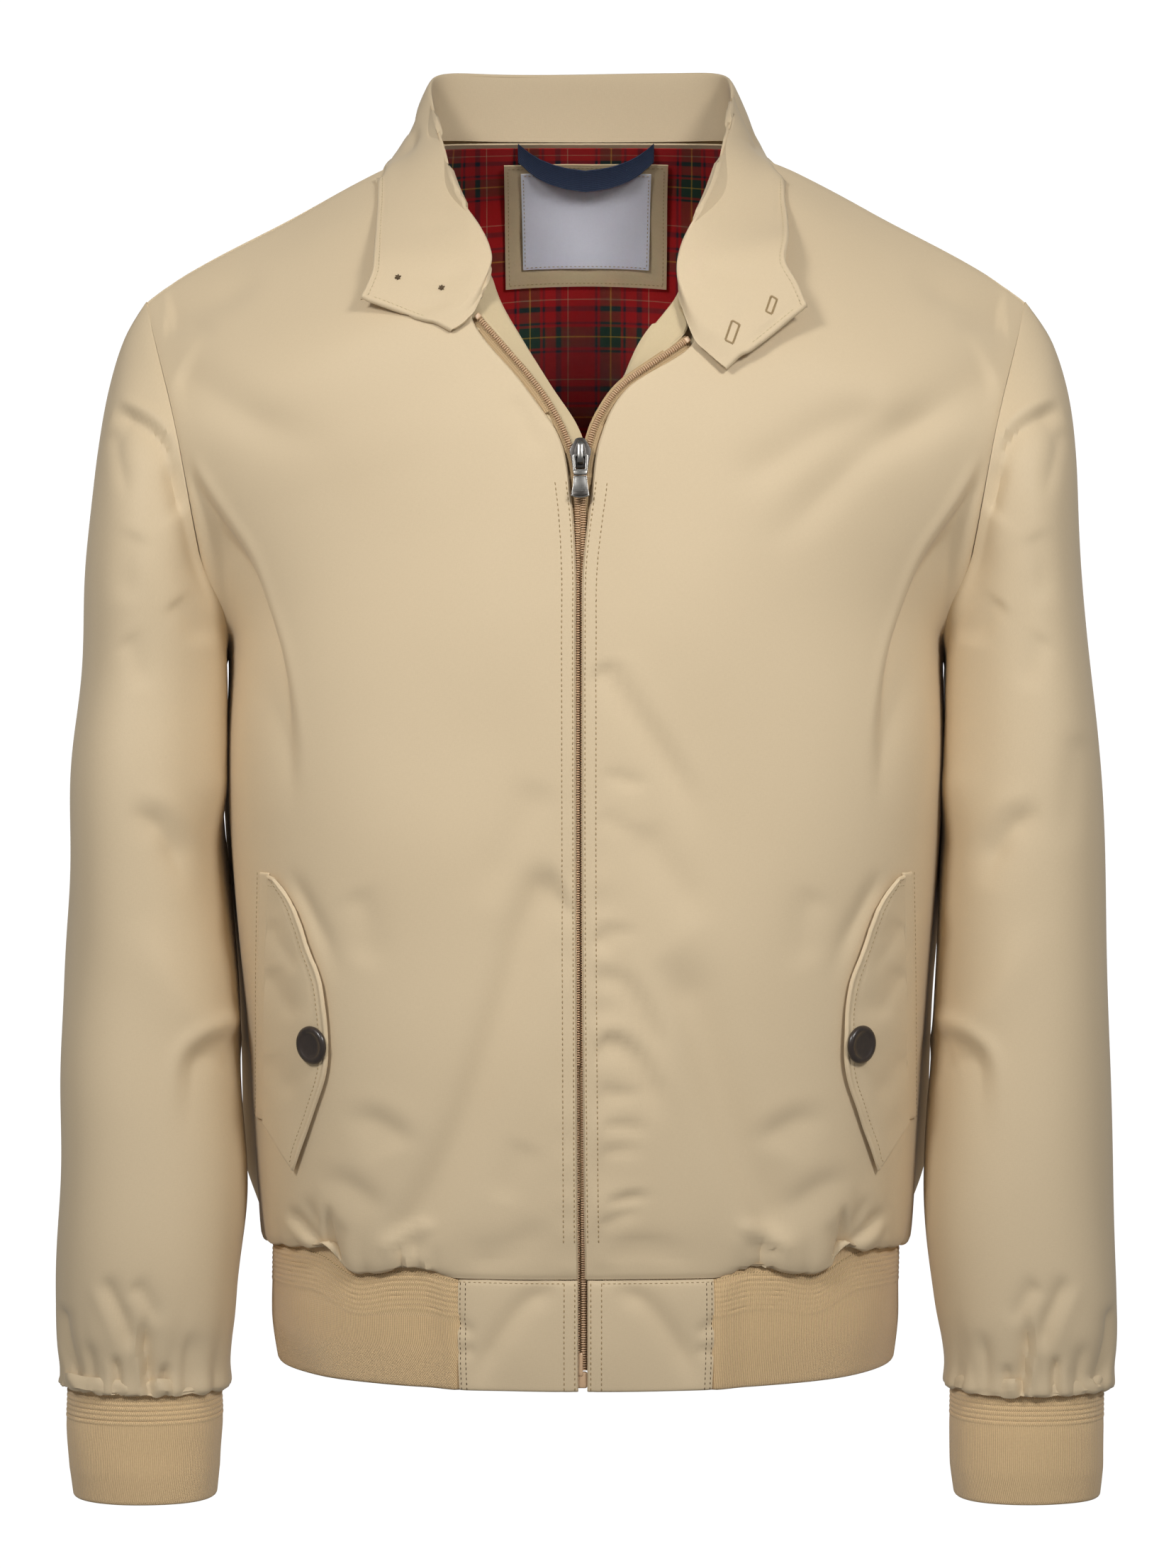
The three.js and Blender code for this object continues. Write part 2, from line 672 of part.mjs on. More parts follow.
function buildFacingAndLining(side, frontGrid) {
  const which = side > 0 ? 'left' : 'right';
  const normals = gridNormals(frontGrid, side, false);
  const facingFace = moved(frontGrid, normals, -facingDepth);
  const liningFace = moved(frontGrid, normals, -liningDepth);
  const facingRows = frontGrid.map((_, v) => {
    if (v < 2) return null;
    const inner = facingFace[v].slice(0, facingColumn + 1);
    const [zip, fold] = facingEdge(side, v, inner);
    return [zip, fold, inner[1], inner[2].clone().lerp(inner[1], 0.01)];
  }).filter(Boolean);
  add(`facing_${which}`, wall(facingRows, cloth.facing, side), shellCloth);
  const liningRows = liningFace.slice(2).map((row) => {
    const cut = frontLiningColumns.map((j) => row[j]);
    cut[0] = cut[0].clone().lerp(cut[1], 0.02);
    cut[cut.length - 1] = cut[cut.length - 1].clone().lerp(cut[cut.length - 2], 0.05);
    return cut;
  });
  lowerTopEdge(liningRows);
  add(`lining_front_${which}`, wall(liningRows, cloth.lining, side), liningCloth);
}

function buildBackLining() {
  const face = moved(backGrid, gridNormals(backGrid, -1, false), -liningDepth);
  const trimmed = face.slice(2).map((row) => {
    const cut = [...row];
    const end = cut.length - 1;
    cut[0] = cut[0].clone().lerp(cut[1], 0.03);
    cut[end] = cut[end].clone().lerp(cut[end - 1], 0.03);
    return cut;
  });
  lowerTopEdge(trimmed);
  add('lining_back', wall(trimmed, cloth.lining, -1), liningCloth);
}

buildHem();
for (const side of [1, -1]) {
  buildCuff(side);
  buildFacingAndLining(side, side > 0 ? frontGrids.left : frontGrids.right);
}
buildBackLining();

// ---------- collar ----------

// The collar band station by station, from its buttonhole end on the wearer's left round the
// neck to its button end: the neck seam, the roll and the outer edge of the turned-down part.
const collarTable = table(
  ['neckX', 'neckY', 'neckZ', 'rollX', 'rollY', 'rollZ', 'edgeX', 'edgeY', 'edgeZ'],
  [
    [72, -118, -113, 82, -115, -105, 114, -101, -80],
    [62, -115.5, -104.5, 71, -113, -96, 108.5, -97, -67],
    [54.5, -112, -96, 60, -111, -88, 102.5, -92, -55.5],
    [47.5, -99, -72, 48.5, -101, -66, 104.5, -80, -44],
    [53, -86, -56, 51, -86, -47, 105.5, -62, -34],
    [66, -61, -33, 63, -60, -20, 105, -42, -22],
    [79, -36, -11, 72, -32, 6, 104, -20, -10],
    [88, -8, 4, 76.5, 0, 28, 101, 4, -1],
    [86, 22, 12.5, 78, 30, 45, 97, 28, 3],
    [74, 46, 15.5, 71, 52, 52.5, 87, 58, 8],
    [45, 59, 16, 44, 64, 53.5, 50, 72, 10.5],
    [0, 63, 16, 0, 68, 53.5, 0, 74, 10],
    [-45, 59, 16, -46, 64, 53.5, -51, 70, 10],
    [-74, 46, 15.5, -77, 52, 52.5, -90, 54, 7],
    [-86, 22, 12.5, -84, 30, 44, -103, 26, 3],
    [-88, -8, 4, -80, 0, 25, -108, 4, -2],
    [-79, -36, -11, -74.5, -32, 4, -109.5, -20, -12],
    [-67, -62, -33, -66, -61, -20, -110, -42, -26],
    [-55, -85, -52, -52, -88, -47, -110, -62, -40],
    [-50, -98, -63, -50.5, -100, -60, -110, -80, -52],
    [-58, -110, -85, -63, -109, -79, -110.5, -90, -62],
    [-69, -112, -94, -80, -108.5, -89, -116, -98, -75.5],
  ],
);
const collarStations = 21;
const collarRoll = 9;          // how far the roll bulges beyond a straight fold
const collarLift = 4.6;        // visible face of the leaves above the chest

// across runs from the neck seam (0) over the roll (0.5) to the outer edge (1).
function collarPoint(across, station) {
  const row = collarTable(station);
  const neck = point(row.neckX, row.neckY, row.neckZ);
  const roll = point(row.rollX, row.rollY, row.rollZ);
  const edge = point(row.edgeX, row.edgeY, row.edgeZ);
  const out = edge.clone().sub(neck).setZ(0).setLength(collarRoll);
  const [from, to] = across < 0.5 ? [neck, roll] : [roll, edge];
  const rise = roll.clone().sub(neck);
  const fall = edge.clone().sub(roll);
  const [startPull, endPull] = across < 0.5 ? [rise, out] : [out, fall];
  const t = across < 0.5 ? across * 2 : across * 2 - 1;
  return from.clone().multiplyScalar(1 - t * t * (3 - 2 * t))
    .addScaledVector(to, t * t * (3 - 2 * t))
    .addScaledVector(startPull, t * (1 - t) ** 2)
    .addScaledVector(endPull, -t * t * (1 - t));
}

function buildCollar() {
  const stations = steps(0, collarStations, 30);
  const across = steps(0, 1, 6);
  const grid = stations.map((station) => across.map((c) => {
    const p = collarPoint(c, station);
    const atNeck = c < 0.1 && station > 2.2 && station < collarStations - 1.2;
    if (!atNeck) return clearOfBody(p, collarLift);
    return p.y > 0 ? p.setZ(p.z + seamGap) : clearOfBody(p, cloth.collar + seamGap);
  }));
  add('collar', wall(grid, cloth.collar, 1), shellCloth);
}

// ---------- zip ----------

const zipTapeCloth = finish(0xc9a582, 0.8);
const zipMetal = finish(0x4a4846, 0.35, 0.9);
const pullMetal = finish(0xa9a7a3, 0.3, 0.9);

// The meeting edge of each half of the teeth, from the foot of the hem up: closed to the slider,
// then open to the two ends of the zip.
const zipTable = table(
  ['leftX', 'leftZ', 'rightX', 'rightZ', 'y'],
  [
    [-2.7, -627, 2.9, -627, -121.6],
    [-2.7, -604, 2.9, -604, -122.4],
    [-2.7, -579, 2.9, -579, -121.4],
    [-2.7, -545, 2.9, -545, -127.4],
    [-2.7, -500, 2.9, -500, -130.4],
    [-2.7, -430, 2.9, -430, -132.8],
    [-2.7, -360, 2.9, -360, -134.2],
    [-2.7, -290, 2.9, -290, -135.6],
    [-2.7, -225, 2.9, -225, -134.4],
    [-2.7, -170, 2.9, -170, -130.6],
    [1, -148, 8, -148.5, -126.6],
    [7.5, -133, 16, -132, -122.8],
    [17.5, -120, 26, -117.5, -118.8],
    [35, -107.5, 40, -101, -113.4],
    [51.5, -96.5, 54.5, -84.5, -107.4],
  ],
);
const zipRows = 14;
const openZipRow = 9;

// Unit vector from the teeth to the tape's outer edge: level while closed, then square to the
// opened edge.
function tapeDirection(side, v) {
  const here = zipPoint(side, v);
  const along = zipPoint(side, Math.min(v + 0.05, zipRows)).sub(zipPoint(side, v - 0.05)).normalize();
  const out = point(side, 0, -0.25 * smooth(openZipRow, openZipRow + 2, v) * Math.abs(here.x) / 20);
  return out.addScaledVector(along, -out.dot(along)).normalize();
}

function zipPoint(side, v) {
  const row = zipTable(v);
  return side > 0 ? point(row.leftX, row.y, row.leftZ) : point(-row.rightX, row.y, row.rightZ);
}

function buildZipHalf(side) {
  const which = side > 0 ? 'left' : 'right';
  const vs = [...steps(0, openZipRow, openZipRow), ...steps(openZipRow + 0.5, zipRows, 9)];
  const strip = (from, to, depth) => vs.map((v) => [from, to].map((reach) => {
    const p = zipPoint(side, v).addScaledVector(tapeDirection(side, v), reach);
    const cover = onFront(p.x, p.z, -cloth.shell - seamGap);
    return p.setY(Math.max(p.y, cover ? cover.y : p.y) + depth);
  }));
  add(`zip_teeth_${which}`, wall(strip(0, chain.width, 0), chain.depth, side), zipTapeCloth);
  add(`zip_tape_${which}`, wall(strip(chain.width + seamGap, 11, 0.5), cloth.tape, side), zipTapeCloth);
}

// ---------- slider, pull and end box ----------

const wasm = await Module();
wasm.setup();

function toSolid(geometry) {
  const bare = geometry.clone();
  bare.deleteAttribute('normal');
  bare.deleteAttribute('uv');
  const merged = mergeVertices(bare, 1e-4);
  return new wasm.Manifold(new wasm.Mesh({
    numProp: 3,
    vertProperties: new Float32Array(merged.attributes.position.array),
    triVerts: new Uint32Array(merged.index.array),
  }));
}

function fromSolid(solid) {
  const { vertProperties, triVerts } = solid.getMesh();
  const geometry = new THREE.BufferGeometry();
  geometry.setAttribute('position', new THREE.Float32BufferAttribute(vertProperties, 3));
  geometry.setIndex(Array.from(triVerts));
  geometry.computeVertexNormals();
  return geometry;
}

const corners = (pairs) => pairs.map(([a, b]) => new THREE.Vector2(a, b));

// A flat plate in x and z, cut by holes, from y = back to y = back - thickness.
function plate(outline, holes, thickness, back, bevel = 0) {
  const shape = new THREE.Shape(corners(outline));
  for (const hole of holes) shape.holes.push(new THREE.Path(corners(hole)));
  const geometry = new THREE.ExtrudeGeometry(shape, {
    depth: thickness - 2 * bevel,
    bevelEnabled: bevel > 0,
    bevelThickness: bevel,
    bevelSize: bevel,
    bevelOffset: -bevel,
    bevelSegments: 1,
    curveSegments: 6,
  });
  return geometry.rotateX(Math.PI / 2).translate(0, back - bevel, 0);
}

const slider = { width: 9.6, height: 15.5, plate: 2, bailWidth: 2.6, bailReach: 3.6, z: -156, tilt: -0.2 };
const pull = { width: 7.4, foot: 8.8, length: 22, thick: 1.3 };
const pullWindow = { width: 4, top: -0.9, foot: -7.2 };
const pivot = { y: -1.25, z: -1.5 };      // axis of the pull, from the slider's own centre
const endBox = { width: 7.4, depth: 3.2, height: 8.4, y: -120.1, z: -631.7 };

const sliderPlace = new THREE.Group();
sliderPlace.position.set(zipCentre, -131.2, slider.z);
sliderPlace.rotation.x = slider.tilt;
jacket.add(sliderPlace);

function buildSlider() {
  const [w, h] = [slider.width / 2, slider.height / 2];
  const outline = [
    [-w + 0.8, -h + 1], [-w + 2, -h], [w - 2, -h], [w - 0.8, -h + 1],
    [w, h - 3], [w - 2.4, h], [-w + 2.4, h], [-w, h - 3],
  ];
  const face = plate(outline, [], slider.plate, slider.plate, 0.4);
  const reach = slider.bailReach;
  const profile = new THREE.Shape(corners([
    [0.4, 5], [1 - reach, 4.6], [-reach, 3], [-reach, -3], [1 - reach, -4.4], [0.4, -4.8],
  ]));
  profile.holes.push(new THREE.Path(corners([[0, 2.8], [0, -2.8], [1.1 - reach, -2.8], [1.1 - reach, 2.8]])));
  const bail = new THREE.ExtrudeGeometry(profile, { depth: slider.bailWidth, bevelEnabled: false });
  const half = slider.bailWidth / 2;
  bail.applyMatrix4(new THREE.Matrix4().set(0, 0, 1, -half, 1, 0, 0, 0, 0, 1, 0, 0, 0, 0, 0, 1));
  const mesh = new THREE.Mesh(fromSolid(toSolid(face).add(toSolid(bail))), zipMetal);
  mesh.name = 'slider';
  sliderPlace.add(mesh);
}

function buildPull() {
  const [w, f, top] = [pull.width / 2, pull.foot / 2, 0.8];
  const foot = -pull.length;
  const outline = [
    [-w + 1, top], [-w, top - 1], [-w, -7.6], [-w + 0.5, -9], [-f, foot + 3.4], [-f, foot + 1.6],
    [-f + 2, foot + 0.2], [0, foot], [f - 2, foot + 0.2], [f, foot + 1.6],
    [f, foot + 3.4], [w - 0.5, -9], [w, -7.6], [w, top - 1], [w - 1, top],
  ];
  const [s, a, b] = [pullWindow.width / 2, pullWindow.top, pullWindow.foot];
  const window = [[-s, a], [s, a], [s, b + 1], [s - 1, b], [-s + 1, b], [-s, b + 1]];
  const geometry = plate(outline, [window], pull.thick, pull.thick / 2);
  const mesh = new THREE.Mesh(geometry, pullMetal);
  mesh.name = 'pull_tab';
  mesh.position.set(0, pivot.y, pivot.z);
  sliderPlace.add(mesh);
}

function buildEndBox() {
  const geometry = new THREE.BoxGeometry(endBox.width, endBox.depth, endBox.height);
  add('zip_box', geometry.translate(zipCentre, endBox.y, endBox.z), zipTapeCloth);
}

// ---------- pockets ----------

// The flap row by row down the slanted mouth: mouth and free edge seen from the front.
const flapTable = table(
  ['mouthX', 'mouthZ', 'edgeX', 'edgeZ'],
  [
    [164, -375, 160.5, -376],
    [164.6, -391, 152, -392],
    [165.3, -410, 143.5, -411],
    [166, -431, 137.5, -432],
    [166.6, -453, 135, -454],
    [167.2, -474, 136.2, -476],
    [167.8, -494, 140, -499],
    [168.4, -508, 148.5, -530],
  ],
);
const flapRows = 7;
const pocketMouth = { welt: 4.2, weltThick: 1.6 };
const pocketButton = { x: 143.5, z: -461, radius: 10, thick: 3.2, rim: 1.2 };

function flapPoint(side, across, v, lift) {
  const row = flapTable(v);
  return onFront(side * mix(row.mouthX, row.edgeX, across), mix(row.mouthZ, row.edgeZ, across), lift);
}

function buildPocket(side) {
  const which = side > 0 ? 'left' : 'right';
  const vs = steps(0, flapRows, 10);
  const across = steps(0, 1, 4);
  const lifts = across.map((a) => cloth.flap + 1 + 1.6 * a);
  const grid = vs.map((v) => across.map((a, j) => flapPoint(side, a, v, lifts[j])));
  add(`pocket_flap_${which}`, wall(grid, cloth.flap, side), shellCloth);
  const weltGrid = steps(-0.2, flapRows - 0.2, 7).map((v) => [0, pocketMouth.welt].map((reach) => {
    const row = flapTable(v);
    return onFront(side * (row.mouthX + 0.6 + reach), row.mouthZ, pocketMouth.weltThick + 0.8);
  }));
  add(`pocket_welt_${which}`, wall(weltGrid, pocketMouth.weltThick, side), shellCloth);
  buildButton(`pocket_button_${which}`, onFront(side * pocketButton.x, pocketButton.z, 0), pocketButton, 4.3);
}

const horn = finish(0x2a2320, 0.35);

// A round button lying on a panel point, its face with a raised rim and a sunk centre.
function buildButton(name, place, size, lift) {
  const { radius, thick, rim } = size;
  const profile = [
    [0, 0], [radius - 0.8, 0], [radius, 0.8], [radius, thick - 0.6], [radius - 0.6, thick],
    [radius - 2 * rim, thick], [radius - 2.8 * rim, thick - 0.7], [0, thick - 0.7],
  ];
  const geometry = new THREE.LatheGeometry(corners(profile), 18);
  const mesh = add(name, geometry, horn);
  mesh.quaternion.setFromUnitVectors(point(0, 1, 0), place.normal);
  mesh.position.copy(place).addScaledVector(place.normal, lift);
}

// ---------- label and hanger loop ----------

const labelCloth = finish(0xc9c7cc, 0.6);
const loopTape = finish(0x2b3348, 0.85);
const label = { patchReach: 0.11, patchTop: 15.6, patchFoot: 13.2, reach: 0.08, top: 15.25, foot: 13.5 };
const patchDepth = liningDepth + cloth.lining + 2.6;

// Half of the hanger loop, from the middle of its sag to the end sewn into the neck seam.
const loopTable = table(
  ['x', 'topY', 'topZ', 'footY', 'footZ'],
  [
    [0, 75.5, -11, 81.5, -22],
    [12, 74.2, -9.2, 80, -20],
    [21, 71, -4.5, 76.5, -15.5],
    [28.5, 64.2, 3, 70.6, -8],
    [34, 58.6, 11, 65, 0],
  ],
);
const loopThickness = 0.9;

// A rectangle lying inside the back, a depth in from the shell's face.
function backPatch(reach, top, foot, depth) {
  const us = steps(-reach, reach, 6);
  const grid = gridOf(backSurface, us, steps(foot, top, 5));
  return moved(grid, gridNormals(grid, -1, false), -depth);
}

function buildLabelAndLoop() {
  const patch = backPatch(label.patchReach, label.patchTop, label.patchFoot, patchDepth);
  add('label_patch', wall(patch, 1, -1), shellCloth);
  const face = backPatch(label.reach, label.top, label.foot, patchDepth + 1.4 + seamGap);
  add('label', wall(face, 0.7, -1), labelCloth);
  const grid = steps(-4, 4, 12).map((station) => {
    const { x, topY, topZ, footY, footZ } = loopTable(Math.abs(station));
    return [point(Math.sign(station) * x, topY, topZ), point(Math.sign(station) * x, footY, footZ)];
  });
  add('hanger_loop', wall(grid, loopThickness, -1), loopTape);
}

for (const side of [1, -1]) {
  buildZipHalf(side);
  buildPocket(side);
}
buildCollar();
buildSlider();
buildPull();
buildEndBox();
buildLabelAndLoop();

export default jacket;
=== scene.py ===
import json
import math

import bmesh
import bpy
import numpy as np
from mathutils import Matrix, Vector
from mathutils.bvhtree import BVHTree

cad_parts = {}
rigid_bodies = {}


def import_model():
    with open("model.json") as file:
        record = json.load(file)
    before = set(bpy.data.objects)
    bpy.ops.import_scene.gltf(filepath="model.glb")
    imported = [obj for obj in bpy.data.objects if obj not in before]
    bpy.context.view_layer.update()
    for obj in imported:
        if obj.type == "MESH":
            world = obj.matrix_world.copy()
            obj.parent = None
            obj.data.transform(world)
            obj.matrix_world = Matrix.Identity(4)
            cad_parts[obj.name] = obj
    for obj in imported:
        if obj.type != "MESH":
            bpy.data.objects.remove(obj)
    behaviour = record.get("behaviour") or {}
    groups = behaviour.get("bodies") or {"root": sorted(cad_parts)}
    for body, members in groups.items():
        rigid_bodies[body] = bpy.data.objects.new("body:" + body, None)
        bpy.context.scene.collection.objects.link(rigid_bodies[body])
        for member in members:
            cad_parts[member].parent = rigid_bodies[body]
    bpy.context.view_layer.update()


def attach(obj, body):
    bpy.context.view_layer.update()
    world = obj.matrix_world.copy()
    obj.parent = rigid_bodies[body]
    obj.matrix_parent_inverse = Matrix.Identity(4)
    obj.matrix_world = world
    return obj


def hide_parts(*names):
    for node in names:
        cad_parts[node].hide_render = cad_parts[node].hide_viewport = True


# A zip-front blouson. Every cloth piece is laid out in millimetres on the surface of its solid
# and becomes metres when its mesh is written.
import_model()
mm = 0.001  # metres
scene = bpy.context.scene
print("frame loaded")


# Maths on whole grids of points.

def clamp01(value):
    return np.clip(value, 0.0, 1.0)


def smooth(start, end, value):
    s = clamp01((value - start) / (end - start))
    return s * s * (3 - 2 * s)


def mix(start, end, amount):
    return start + (end - start) * amount


def power(value, exponent):
    return np.sign(value) * np.abs(value) ** exponent


def xyz(x, y, z):
    return np.stack(np.broadcast_arrays(x, y, z), axis=-1).astype(float)


def length(vectors):
    return np.linalg.norm(vectors, axis=-1)


def unit(vectors):
    return vectors / np.maximum(length(vectors)[..., None], 1e-9)


def bump(value, middle, width):
    return np.exp(-((value - middle) / width) ** 2)


# Named columns read at any row position, on a smooth curve through the rows.
def table(names, lines):
    values = np.array(lines, float)
    last = len(values) - 1

    def read(position):
        position = np.asarray(position, float)
        k = np.clip(np.floor(position), 0, last - 1).astype(int)
        f = (position - k)[..., None]
        a, b = values[np.clip(k - 1, 0, last)], values[k]
        d, e = values[k + 1], values[np.clip(k + 2, 0, last)]
        found = b + 0.5 * f * (d - a + f * (2 * a - 5 * b + 4 * d - e + f * (3 * (b - d) + e - a)))
        return {name: found[..., c] for c, name in enumerate(names)}

    return read


# Points along a smooth curve through a few given ones.
def curveThrough(points, count=30):
    names = [str(k) for k in range(len(points[0]))]
    found = table(names, points)(np.linspace(0, len(points) - 1, count))
    return np.stack([found[name] for name in names], axis=-1)


# Signed distance to a line in a plane, positive on its left, and the share of the way along it.
def nearLine(line, a, b):
    best = np.full(np.shape(a), 1e9)
    signed, along = np.zeros_like(best), np.zeros_like(best)
    for k in range(len(line) - 1):
        (x0, z0), (dx, dz) = line[k], line[k + 1] - line[k]
        s = clamp01(((a - x0) * dx + (b - z0) * dz) / (dx * dx + dz * dz))
        gapX, gapZ = a - x0 - s * dx, b - z0 - s * dz
        distance = np.hypot(gapX, gapZ)
        closer = distance < best - 1e-6
        side = np.where(dx * gapZ - dz * gapX >= 0, 1.0, -1.0)
        best = np.where(closer, distance, best)
        signed = np.where(closer, side * distance, signed)
        along = np.where(closer, (k + s) / (len(line) - 1), along)
    return signed, along


# A crease: a trough of that depth along a line, its left and right flanks as wide as given, with
# a raised lip beyond the left flank. A low edge makes it sharp, and it fades out at both ends.
def crease(a, b, path, depth, left, right, lip=0.0, edge=1.6, fade=(0.2, 0.35)):
    signed, along = nearLine(curveThrough(path), a, b)
    t = np.where(signed > 0, signed / left, -signed / right)
    shape = -depth * np.exp(-t ** edge)
    shape += lip * np.where(signed > 0, bump(t, 2.0, 0.9), 0.0)
    return shape * smooth(0, fade[0], along) * smooth(1, 1 - fade[1], along)


# A sum of slow waves in space, the same on every run.
def unevenness(points, seed, shortest, longest, count=14):
    rng = np.random.default_rng(seed)
    total = np.zeros(points.shape[:-1])
    for _ in range(count):
        way = unit(rng.normal(size=3))
        turns = points @ way / rng.uniform(shortest, longest)
        total += np.sin(2 * np.pi * (turns + rng.random()))
    return total / math.sqrt(count)


# Unit normals of a grid of points. sign turns them outwards.
def facing(points, sign, closed=False):
    grid = np.concatenate([points[:, -2:-1], points, points[:, 1:2]], axis=1) if closed else points
    normals = unit(np.cross(np.gradient(grid, axis=1), np.gradient(grid, axis=0))) * sign
    return normals[:, 1:-1] if closed else normals


# Meshes.

def written(bm, name):
    mesh = bpy.data.meshes.new(name)
    bm.to_mesh(mesh)
    bm.free()
    return mesh


def shownObject(name, mesh, finish, body="jacket"):
    piece = bpy.data.objects.new(name, mesh)
    scene.collection.objects.link(piece)
    mesh.materials.clear()
    mesh.materials.append(finish)
    mesh.polygons.foreach_set("use_smooth", np.ones(len(mesh.polygons), bool))
    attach(piece, body)
    return piece


# Distances along each row of points from its first one, or its last.
def rowLengths(points, fromEnd):
    steps = length(np.diff(points, axis=1))
    if fromEnd:
        return np.pad(np.cumsum(steps[:, ::-1], axis=1)[:, ::-1], ((0, 0), (0, 1)))
    return np.pad(np.cumsum(steps, axis=1), ((0, 0), (1, 0)))


# The fractional places that lie at a distance from one end, on the lines that are picked.
def reached(lines, picks, distance, fromEnd):
    order = slice(None, None, -1) if fromEnd else slice(None)
    places = np.arange(lines.shape[1])[order]
    return np.array([np.interp(distance, lines[int(round(k))][order], places) for k in np.atleast_1d(picks)])


# A grid of points with its normals, read at fractional rows and columns.
class Grid:
    def __init__(self, points, sign, closed=False):
        self.points = points
        self.sign = sign
        self.closed = closed
        self.normals = facing(points, sign, closed)

    def moved(self, distance):
        return Grid(self.points + self.normals * np.asarray(distance)[..., None], self.sign, self.closed)

    def at(self, row, column):
        rows, columns = self.points.shape[:2]
        row, column = np.broadcast_arrays(np.asarray(row, float), np.asarray(column, float))
        i = np.clip(row.astype(int), 0, rows - 2)
        j = np.clip(column.astype(int), 0, columns - 2)
        f, g = (row - i)[..., None], (column - j)[..., None]
        found = []
        for values in (self.points, self.normals):
            low = mix(values[i, j], values[i, j + 1], g)
            high = mix(values[i + 1, j], values[i + 1, j + 1], g)
            found.append(mix(low, high, f))
        return found[0], unit(found[1])

    def across(self, fromEnd=False):
        return rowLengths(self.points, fromEnd)

    def down(self, fromEnd=False):
        return rowLengths(self.points.swapaxes(0, 1), fromEnd).T

    # The fractional column at a distance along the given rows, and the row along the given columns.
    def columnAt(self, rows, distance, fromEnd=False):
        return reached(self.across(fromEnd), rows, distance, fromEnd)

    def rowAt(self, columns, distance, fromEnd=False):
        return reached(self.down(fromEnd).T, columns, distance, fromEnd)

    # Cloth coordinates in millimetres: along each row from a centre column, and down that column.
    def flat(self, centre=0):
        across = self.across()
        down = self.down()[:, centre]
        sideways = across - across[:, centre:centre + 1]
        return np.stack([sideways, np.broadcast_to(down[:, None], across.shape)], axis=-1)

    def area(self):
        p = self.points
        first = np.cross(p[1:, 1:] - p[:-1, :-1], p[1:, :-1] - p[:-1, 1:])
        return length(first).sum() / 2


# The depth that a rolled edge of a radius drops at a distance from the edge.
def rolled(distance, radius):
    near = np.minimum(distance, radius)
    return radius - np.sqrt(np.maximum(radius ** 2 - (radius - near) ** 2, 0.0))


def clothPiece(name, grid, thickness, finish, replaces=(), centre=0):
    rows, columns = grid.points.shape[:2]
    bm = bmesh.new()
    bmesh.ops.create_grid(bm, x_segments=columns - 1, y_segments=rows - 1, size=0.5)
    mesh = written(bm, name)
    place = np.empty(len(mesh.vertices) * 3, np.float32)
    mesh.vertices.foreach_get("co", place)
    column = np.rint((place[0::3] + 0.5) * (columns - 1)).astype(int)
    row = np.rint((place[1::3] + 0.5) * (rows - 1)).astype(int)
    mesh.vertices.foreach_set("co", (grid.points[row, column] * mm).ravel())
    corner = np.empty(len(mesh.loops), np.int32)
    mesh.loops.foreach_get("vertex_index", corner)
    layer = mesh.uv_layers.new(name="cloth")
    flat = grid.flat(centre) * mm
    layer.data.foreach_set("uv", flat[row[corner], column[corner]].astype(np.float32).ravel())
    bm = bmesh.new()
    bm.from_mesh(mesh)
    if grid.closed:
        bmesh.ops.remove_doubles(bm, verts=bm.verts[:], dist=1e-6)
    if grid.sign < 0:
        bmesh.ops.reverse_faces(bm, faces=bm.faces[:])
    bm.to_mesh(mesh)
    bm.free()
    piece = shownObject(name, mesh, finish)
    wall = piece.modifiers.new("wall", "SOLIDIFY")
    wall.thickness = thickness * mm
    wall.offset = -1
    graph = bpy.context.evaluated_depsgraph_get()
    solid = bpy.data.meshes.new_from_object(piece.evaluated_get(graph))
    piece.modifiers.clear()
    piece.data = solid
    solid.name = name
    solid.set_sharp_from_angle(angle=math.radians(48))
    if replaces:
        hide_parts(*replaces)
    size = (grid.across()[:, -1].max() * mm, grid.down()[-1].max() * mm)
    area = grid.area() * 1e-6
    print(name, "cut", [round(s, 3) for s in size], "area", round(area, 4), "faces", len(solid.polygons))
    return piece


toMetres = Matrix.Diagonal((mm, mm, mm, 1))


# Many small copies of one shape: one matrix each, in millimetres.
def scattered(name, template, matrices, finish, body="jacket"):
    bm = bmesh.new()
    for matrix in matrices:
        copy = template.copy()
        copy.transform(matrix)
        bm.from_mesh(copy)
        bpy.data.meshes.remove(copy)
    mesh = written(bm, name)
    mesh.transform(toMetres)
    return shownObject(name, mesh, finish, body)


def templateMesh(name, build):
    bm = bmesh.new()
    build(bm)
    return written(bm, name)


roundBead = templateMesh("bead", lambda bm: bmesh.ops.create_uvsphere(bm, u_segments=8, v_segments=6, radius=1))
smallBead = templateMesh("stitch", lambda bm: bmesh.ops.create_icosphere(bm, subdivisions=1, radius=1))


# A matrix that puts a unit shape at a place: long axis along the way, third axis along the normal.
def placed(place, way, normal, scale):
    n = Vector(normal).normalized()
    t = Vector(way)
    t = (t - n * t.dot(n)).normalized()
    turn = Matrix((t, n.cross(t), n)).transposed().to_4x4()
    return Matrix.Translation(Vector(place)) @ turn @ Matrix.Diagonal((*scale, 1))


# Evenly spaced points on a line, with the way it runs and its normals there.
def alongLine(points, normals, pitch, start=0.0):
    steps = length(np.diff(points, axis=0))
    total = np.concatenate([[0], np.cumsum(steps)])
    spots = np.arange(start + pitch / 2, total[-1], pitch)

    def read(values, shift=0.0):
        return np.stack([np.interp(spots + shift, total, values[:, k]) for k in range(3)], axis=-1)

    return read(points), unit(read(points, 0.3) - read(points, -0.3)), unit(read(normals))


